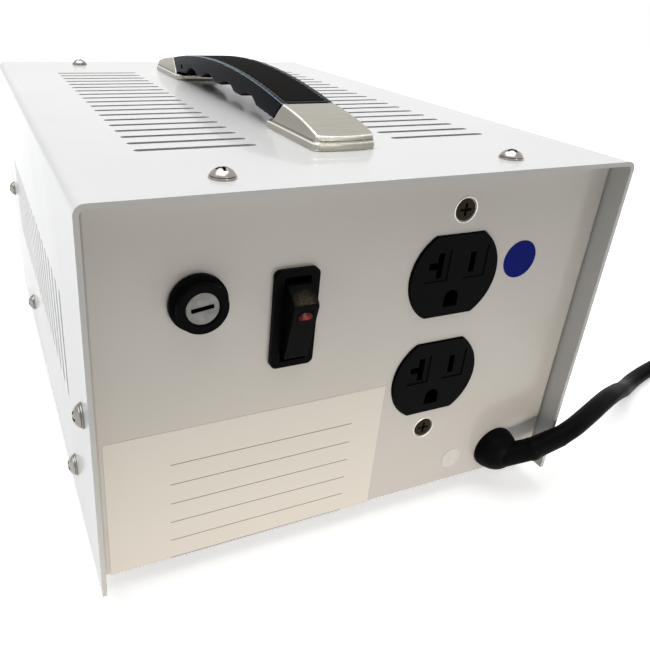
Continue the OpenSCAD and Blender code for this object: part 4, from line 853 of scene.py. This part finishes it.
class STEPDOWN_OT_case(bpy.types.Operator):
    """Finishes the cover, the chassis, their screws and the feet"""
    bl_idname = "stepdown.case"
    bl_label = "Case"

    def execute(self, context):
        look = context.scene.stepdown_case
        white = powder_coat("White powder coat", look.powder_colour)
        # The second finish is painted shade on the inner wall faces and under the top, and the same
        # darker colour on the front and rear cut edges
        inside = powder_coat("Inside shade and cut edges", look.inside_shade_and_cut_edge_colour)
        cover = soft_copy("cover", "case", "case_white", white, look.edge_bevel, inside, segments=2)
        low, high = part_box("cover")
        wall_depth = 0.0008
        fold_depth = 0.004
        cut_depth = 0.0003

        def in_shade_or_on_cut_edge(face):
            """Tells whether a face is inside a wall, under the top or on the front or rear cut edge."""
            inwards = face.normal.x * face.center.x < -0.5 * abs(face.center.x)
            in_wall = inwards and abs(face.center.x) < high[0] - wall_depth
            under_top = face.normal.z < -0.5 and face.center.z > high[2] - fold_depth
            cut_edge = min(face.center.y - low[1], high[1] - face.center.y) < cut_depth
            return in_wall or under_top or cut_edge

        second_finish(cover, in_shade_or_on_cut_edge)
        paint(powder_coat("Panel powder coat", look.panel_colour), "chassis")
        nickel = plated_metal("Bright nickel", (0.34, 0.32, 0.29), roughness=0.14)
        # Painted shade in the screws' cross recesses
        shade = plated_metal("Nickel recess shade", (0.03, 0.028, 0.025), roughness=0.35)
        screws = soft_copy("cover_screws", "case", "zinc", nickel, SCREW_EDGE, shade, segments=2)
        paint_recess_shade(screws, radius=0.0022, depth=0.0014)
        soft_copy("cover_washers", "case", "zinc", nickel, WASHER_EDGE, segments=2)
        zinc = plated_metal("Zinc plate", (0.60, 0.60, 0.58), roughness=0.28)
        paint(
            zinc, "clinch_nuts", "foot_screws", "foot_nuts", "handle_screws", "outlet_nuts",
            "outlet_strap")
        rubber = moulded_plastic("Foot rubber", (0.015, 0.015, 0.015), 0.7, scale=1200.0, bump=0.5)
        soft_copy("feet", "case", "rubber_black", rubber, RUBBER_EDGE)
        return {"FINISHED"}


class STEPDOWN_OT_handle(bpy.types.Operator):
    """Makes the carrying handle: two metal caps, the grip, its pad and the steel strip"""
    bl_idname = "stepdown.handle"
    bl_label = "Handle"

    def execute(self, context):
        look = context.scene.stepdown_handle
        other = tuple(0.82 * c for c in look.cap_colour)
        metal = brushed_metal("Brushed cap metal", look.cap_colour, other, 0.24)
        edge_highlight_and_crease_shade(metal, look.cap_edge_highlight_colour, (0.04, 0.035, 0.027))
        # Painted highlight on the caps' rounded outer edges and painted shade in their creases; edges
        # that look towards the grip stay plain
        for node in ("handle_cap_front", "handle_cap_rear"):
            cast_copy(
                node, "case", "cap_metal", metal, look.cap_cell, rounds=14,
                marked=lambda v: v.normal.y * v.co.y > -0.4 * abs(v.co.y))
        glossy = moulded_plastic("Grip plastic", look.grip_colour, 0.24, scale=500.0, bump=0.05)
        # Painted bluish highlight on the grip's upper outer edges; its creases keep the grip's own
        # colour
        edge_highlight_and_crease_shade(glossy, look.grip_edge_highlight_colour, look.grip_colour)
        low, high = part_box("handle_grip")
        rim_width = 0.002
        hole_radius = 0.0011
        hole_depth = 0.0015
        hole_y = 0.0507
        hole_z = 0.1417
        holes = [((x, hole_y, hole_z), hole_radius, hole_depth) for x in (low[0], high[0])]
        cast_copy(
            "handle_grip", "handle", "grip_black", glossy, look.grip_cell, rounds=10,
            marked=lambda v: v.normal.z > 0.25 and abs(v.co.x) > high[0] - rim_width, hollows=holes)
        matte = moulded_plastic(
            "Pad rubber", (0.0085, 0.008, 0.0075), 0.7, scale=1600.0, bump=0.7, shine=0.01)
        soft_copy("grip_pad", "handle", "pad_black", matte, SMALL_EDGE, segments=2)
        paint(brushed_metal("Strip steel", (0.20, 0.20, 0.21), (0.13, 0.13, 0.14), 0.4), "handle_strip")
        return {"FINISHED"}


class STEPDOWN_OT_fuse(bpy.types.Operator):
    """Makes the fuse holder with its carrier, slotted disc and glass fuse"""
    bl_idname = "stepdown.fuse"
    bl_label = "Fuse holder"

    def execute(self, context):
        look = context.scene.stepdown_panel
        black = moulded_plastic("Fuse holder plastic", look.black_colour, 0.42)
        soft_copy("fuse_holder", "case", "matte_black", black, look.trim_bevel)
        paint(black, "fuse_holder_nut", "fuse_carrier")
        grey = moulded_plastic("Fuse disc plastic", look.knob_colour, 0.34, scale=16000.0, bump=0.15)
        disc = soft_copy("fuse_cap", "fuse_knob", "grey_plastic", grey, SCREW_EDGE, black, segments=2)
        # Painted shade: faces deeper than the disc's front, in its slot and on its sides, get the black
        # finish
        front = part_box("fuse_cap")[0][1]
        slot_shade_depth = 0.0004
        second_finish(disc, lambda face: face.center.y > front + slot_shade_depth)
        paint(clear_glass("Fuse glass"), "fuse_glass")
        paint(plated_metal("Fuse cap nickel", (0.70, 0.69, 0.66)), "fuse_end_caps", "fuse_wire")
        brass = plated_metal("Tab brass", (0.66, 0.48, 0.20), roughness=0.3)
        paint(brass, "fuse_terminals", "switch_terminals")
        return {"FINISHED"}


class STEPDOWN_OT_switch(bpy.types.Operator):
    """Makes the rocker switch with its red lens"""
    bl_idname = "stepdown.switch"
    bl_label = "Rocker switch"

    def execute(self, context):
        look = context.scene.stepdown_panel
        frame_black = moulded_plastic("Switch frame plastic", look.black_colour, 0.36)
        soft_copy("switch_housing", "case", "black_plastic", frame_black, look.trim_bevel)
        low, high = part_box("rocker")
        ridge_share = 0.81
        ridge = low[2] + ridge_share * (high[2] - low[2])
        # Painted light: the facet above the ridge that looks up and forward gets a brown-grey colour
        # over a fine grain, brightest round a spot just above the ridge and fading to black away from it
        highlight_height = 0.0018
        plain = moulded_plastic("Rocker plastic", look.black_colour, 0.30, scale=1800.0, bump=0.35)
        lit_face = grained(
            "Painted lit rocker face", (0.024, 0.019, 0.013), (0.095, 0.077, 0.054),
            roughness=0.45, rough_spread=0.1, scale=60000.0, bump=0.4)
        painted_highlight = ((low[0] + high[0]) / 2, low[1], ridge + highlight_height)
        painted_light_falloff(with_shine(lit_face, 0.05), painted_highlight, near=0.0010, far=0.0046, other=look.black_colour)
        rocker = soft_copy("rocker", "switch_rocker", "black_plastic", plain, SMALL_EDGE, lit_face)
        second_finish(
            rocker, lambda face: face.center.z > ridge and face.normal.z > 0.3 and face.normal.y < -0.2)
        # Painted highlight: the lens is brightest round a spot near its lower middle and turns to
        # painted shade away from it
        red = moulded_plastic("Red lens", look.lens_colour, 0.15, scale=300.0, bump=0.05, shine=0.12)
        low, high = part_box("rocker_lens")
        lit_height = 0.0008
        lit = ((low[0] + high[0]) / 2, low[1], low[2] + lit_height)
        painted_light_falloff(red, lit, near=0.0002, far=0.0017, other=look.lens_edge_colour)
        soft_copy("rocker_lens", "switch_rocker", "lens_red", red, SMALL_EDGE)
        return {"FINISHED"}


class STEPDOWN_OT_outlets(bpy.types.Operator):
    """Makes the double outlet with its contacts and its two dark screws"""
    bl_idname = "stepdown.outlets"
    bl_label = "Double outlet"

    def execute(self, context):
        look = context.scene.stepdown_panel
        black = moulded_plastic("Outlet plastic", look.black_colour, 0.36, scale=1500.0, bump=0.15)
        soft_copy("outlet_face", "case", "matte_black", black, look.trim_bevel)
        paint(black, "outlet_back")
        brass = plated_metal("Contact brass", (0.66, 0.46, 0.20), roughness=0.3)
        paint(
            brass, "outlet_line_contact", "outlet_neutral_contact", "outlet_earth_contact",
            "outlet_terminals", "terminal_screws", "earth_stud", "earth_nut")
        bronze = plated_metal("Dark bronze", (0.020, 0.014, 0.009), roughness=0.2)
        # Painted shade in the screws' cross recesses
        shade = plated_metal("Bronze recess shade", (0.004, 0.003, 0.002), roughness=0.4)
        screws = soft_copy(
            "outlet_screws", "case", "bronze_screw", bronze, SCREW_EDGE, shade, segments=2)
        paint_recess_shade(screws, radius=0.0019, depth=0.0016)
        self.add_rims(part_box("outlet_screws"))
        return {"FINISHED"}

    def add_rims(self, box):
        """Bright rolled rims round the two screw holes"""
        rim_gap = 0.0006
        rim_thickness = 0.0003
        low, high = box
        radius = (high[0] - low[0]) / 2
        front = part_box("rating_label")[1][1]
        bare = plated_metal("Bare rim", (0.70, 0.685, 0.65), roughness=0.3)
        for name, z in (("upper_screw_rim", high[2] - radius), ("lower_screw_rim", low[2] + radius)):
            bpy.ops.object.select_all(action="DESELECT")
            bpy.ops.mesh.primitive_torus_add(
                location=((low[0] + high[0]) / 2, front, z), rotation=(math.pi / 2, 0, 0),
                major_radius=radius + rim_gap, minor_radius=rim_thickness,
                major_segments=64, minor_segments=10)
            rim = bpy.context.object
            rim.name = name
            bpy.ops.object.transform_apply(location=True, rotation=True, scale=True)
            bpy.ops.object.shade_smooth()
            give(rim, bare)
            dress(rim, "case", "zinc")


class STEPDOWN_OT_entry(bpy.types.Operator):
    """Makes the domed cord entry with its bent boot"""
    bl_idname = "stepdown.entry"
    bl_label = "Cord entry"

    def execute(self, context):
        look = context.scene.stepdown_cord
        rubber = moulded_plastic("Entry rubber", look.colour, 0.40, scale=1500.0, bump=0.2)
        soft_copy("strain_relief", "case", "rubber_black", rubber, RUBBER_EDGE)
        paint(rubber, "strain_relief_nut")
        paint(moulded_plastic("Tail sheath", look.colour, 0.5), "cord_tail")
        return {"FINISHED"}


class STEPDOWN_OT_labels(bpy.types.Operator):
    """Finishes the bare rating label, the blue dot and the small round sticker"""
    bl_idname = "stepdown.labels"
    bl_label = "Labels"

    def execute(self, context):
        look = context.scene.stepdown_case
        low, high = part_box("rating_label")
        paint(ruled_label("Bare rating label", look.label_colour, low[0], low[2]), "rating_label")
        paint(moulded_plastic("Blue film", look.dot_colour, 0.42, bump=0.03), "blue_dot")
        pale = grained(
            "Pale sticker film", (0.63, 0.615, 0.58), (0.565, 0.55, 0.52),
            roughness=0.4, rough_spread=0.1, scale=24000.0, bump=0.04)
        paint(pale, "round_sticker")
        return {"FINISHED"}


class STEPDOWN_OT_transformer(bpy.types.Operator):
    """Finishes the wound ring, its clamp, the terminal block and the wiring"""
    bl_idname = "stepdown.transformer"
    bl_label = "Transformer"

    def execute(self, context):
        low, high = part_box("toroid_winding")
        centre = tuple((a + b) / 2 for a, b in zip(low, high))
        paint(wound_wire("Wound copper", centre), "toroid_winding")
        paint(brushed_metal("Core steel", (0.26, 0.27, 0.29), (0.16, 0.17, 0.18), 0.35), "toroid_core")
        paint(moulded_plastic("Pad sheet", (0.02, 0.02, 0.02), 0.7), "lower_pad", "upper_pad")
        zinc = plated_metal("Clamp zinc", (0.60, 0.58, 0.50), roughness=0.26)
        paint(zinc, "clamp_plate", "clamp_bolt", "clamp_nut")
        paint(moulded_plastic("Terminal ivory", (0.62, 0.56, 0.42), 0.45, bump=0.1), "terminal_block")
        for node, colour in (
            ("active_wires", (0.13, 0.045, 0.02)), ("neutral_wires", (0.02, 0.06, 0.35)),
            ("earth_wires", (0.10, 0.35, 0.04)),
        ):
            paint(moulded_plastic(node.replace("_", " ").capitalize(), colour, 0.4, bump=0.05), node)
        return {"FINISHED"}


GROUPS = (StageSettings, CordSettings, CaseSettings, HandleSettings, PanelSettings)
OPERATORS = (
    STEPDOWN_OT_stage, STEPDOWN_OT_cord, STEPDOWN_OT_case, STEPDOWN_OT_handle, STEPDOWN_OT_fuse,
    STEPDOWN_OT_switch, STEPDOWN_OT_outlets, STEPDOWN_OT_entry, STEPDOWN_OT_labels,
    STEPDOWN_OT_transformer,
)


class STEPDOWN_PT_pieces(bpy.types.Panel):
    """Lists the operators that build the transformer"""
    bl_idname = "STEPDOWN_PT_pieces"
    bl_label = "Step-down autotransformer"
    bl_space_type = "VIEW_3D"
    bl_region_type = "UI"
    bl_category = "Transformer"

    def draw(self, context):
        for operator in OPERATORS:
            self.layout.operator(operator.bl_idname)


def register():
    """Adds the settings, the operators and the panel to Blender."""
    for group in GROUPS:
        bpy.utils.register_class(group)
    for operator in OPERATORS:
        bpy.utils.register_class(operator)
    bpy.utils.register_class(STEPDOWN_PT_pieces)
    scene = bpy.types.Scene
    scene.stepdown_stage = bpy.props.PointerProperty(type=StageSettings)
    scene.stepdown_cord = bpy.props.PointerProperty(type=CordSettings)
    scene.stepdown_case = bpy.props.PointerProperty(type=CaseSettings)
    scene.stepdown_handle = bpy.props.PointerProperty(type=HandleSettings)
    scene.stepdown_panel = bpy.props.PointerProperty(type=PanelSettings)


def unregister():
    """Takes the panel, the operators and the settings away again."""
    for name in ("stage", "cord", "case", "handle", "panel"):
        delattr(bpy.types.Scene, "stepdown_" + name)
    bpy.utils.unregister_class(STEPDOWN_PT_pieces)
    for known in reversed(GROUPS + OPERATORS):
        bpy.utils.unregister_class(known)


def main():
    """Registers the add-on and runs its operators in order."""
    register()
    bpy.ops.stepdown.stage()
    bpy.ops.stepdown.cord()
    bpy.ops.stepdown.case()
    bpy.ops.stepdown.handle()
    bpy.ops.stepdown.fuse()
    bpy.ops.stepdown.switch()
    bpy.ops.stepdown.outlets()
    bpy.ops.stepdown.entry()
    bpy.ops.stepdown.labels()
    bpy.ops.stepdown.transformer()


if __name__ == "__main__":
    main()
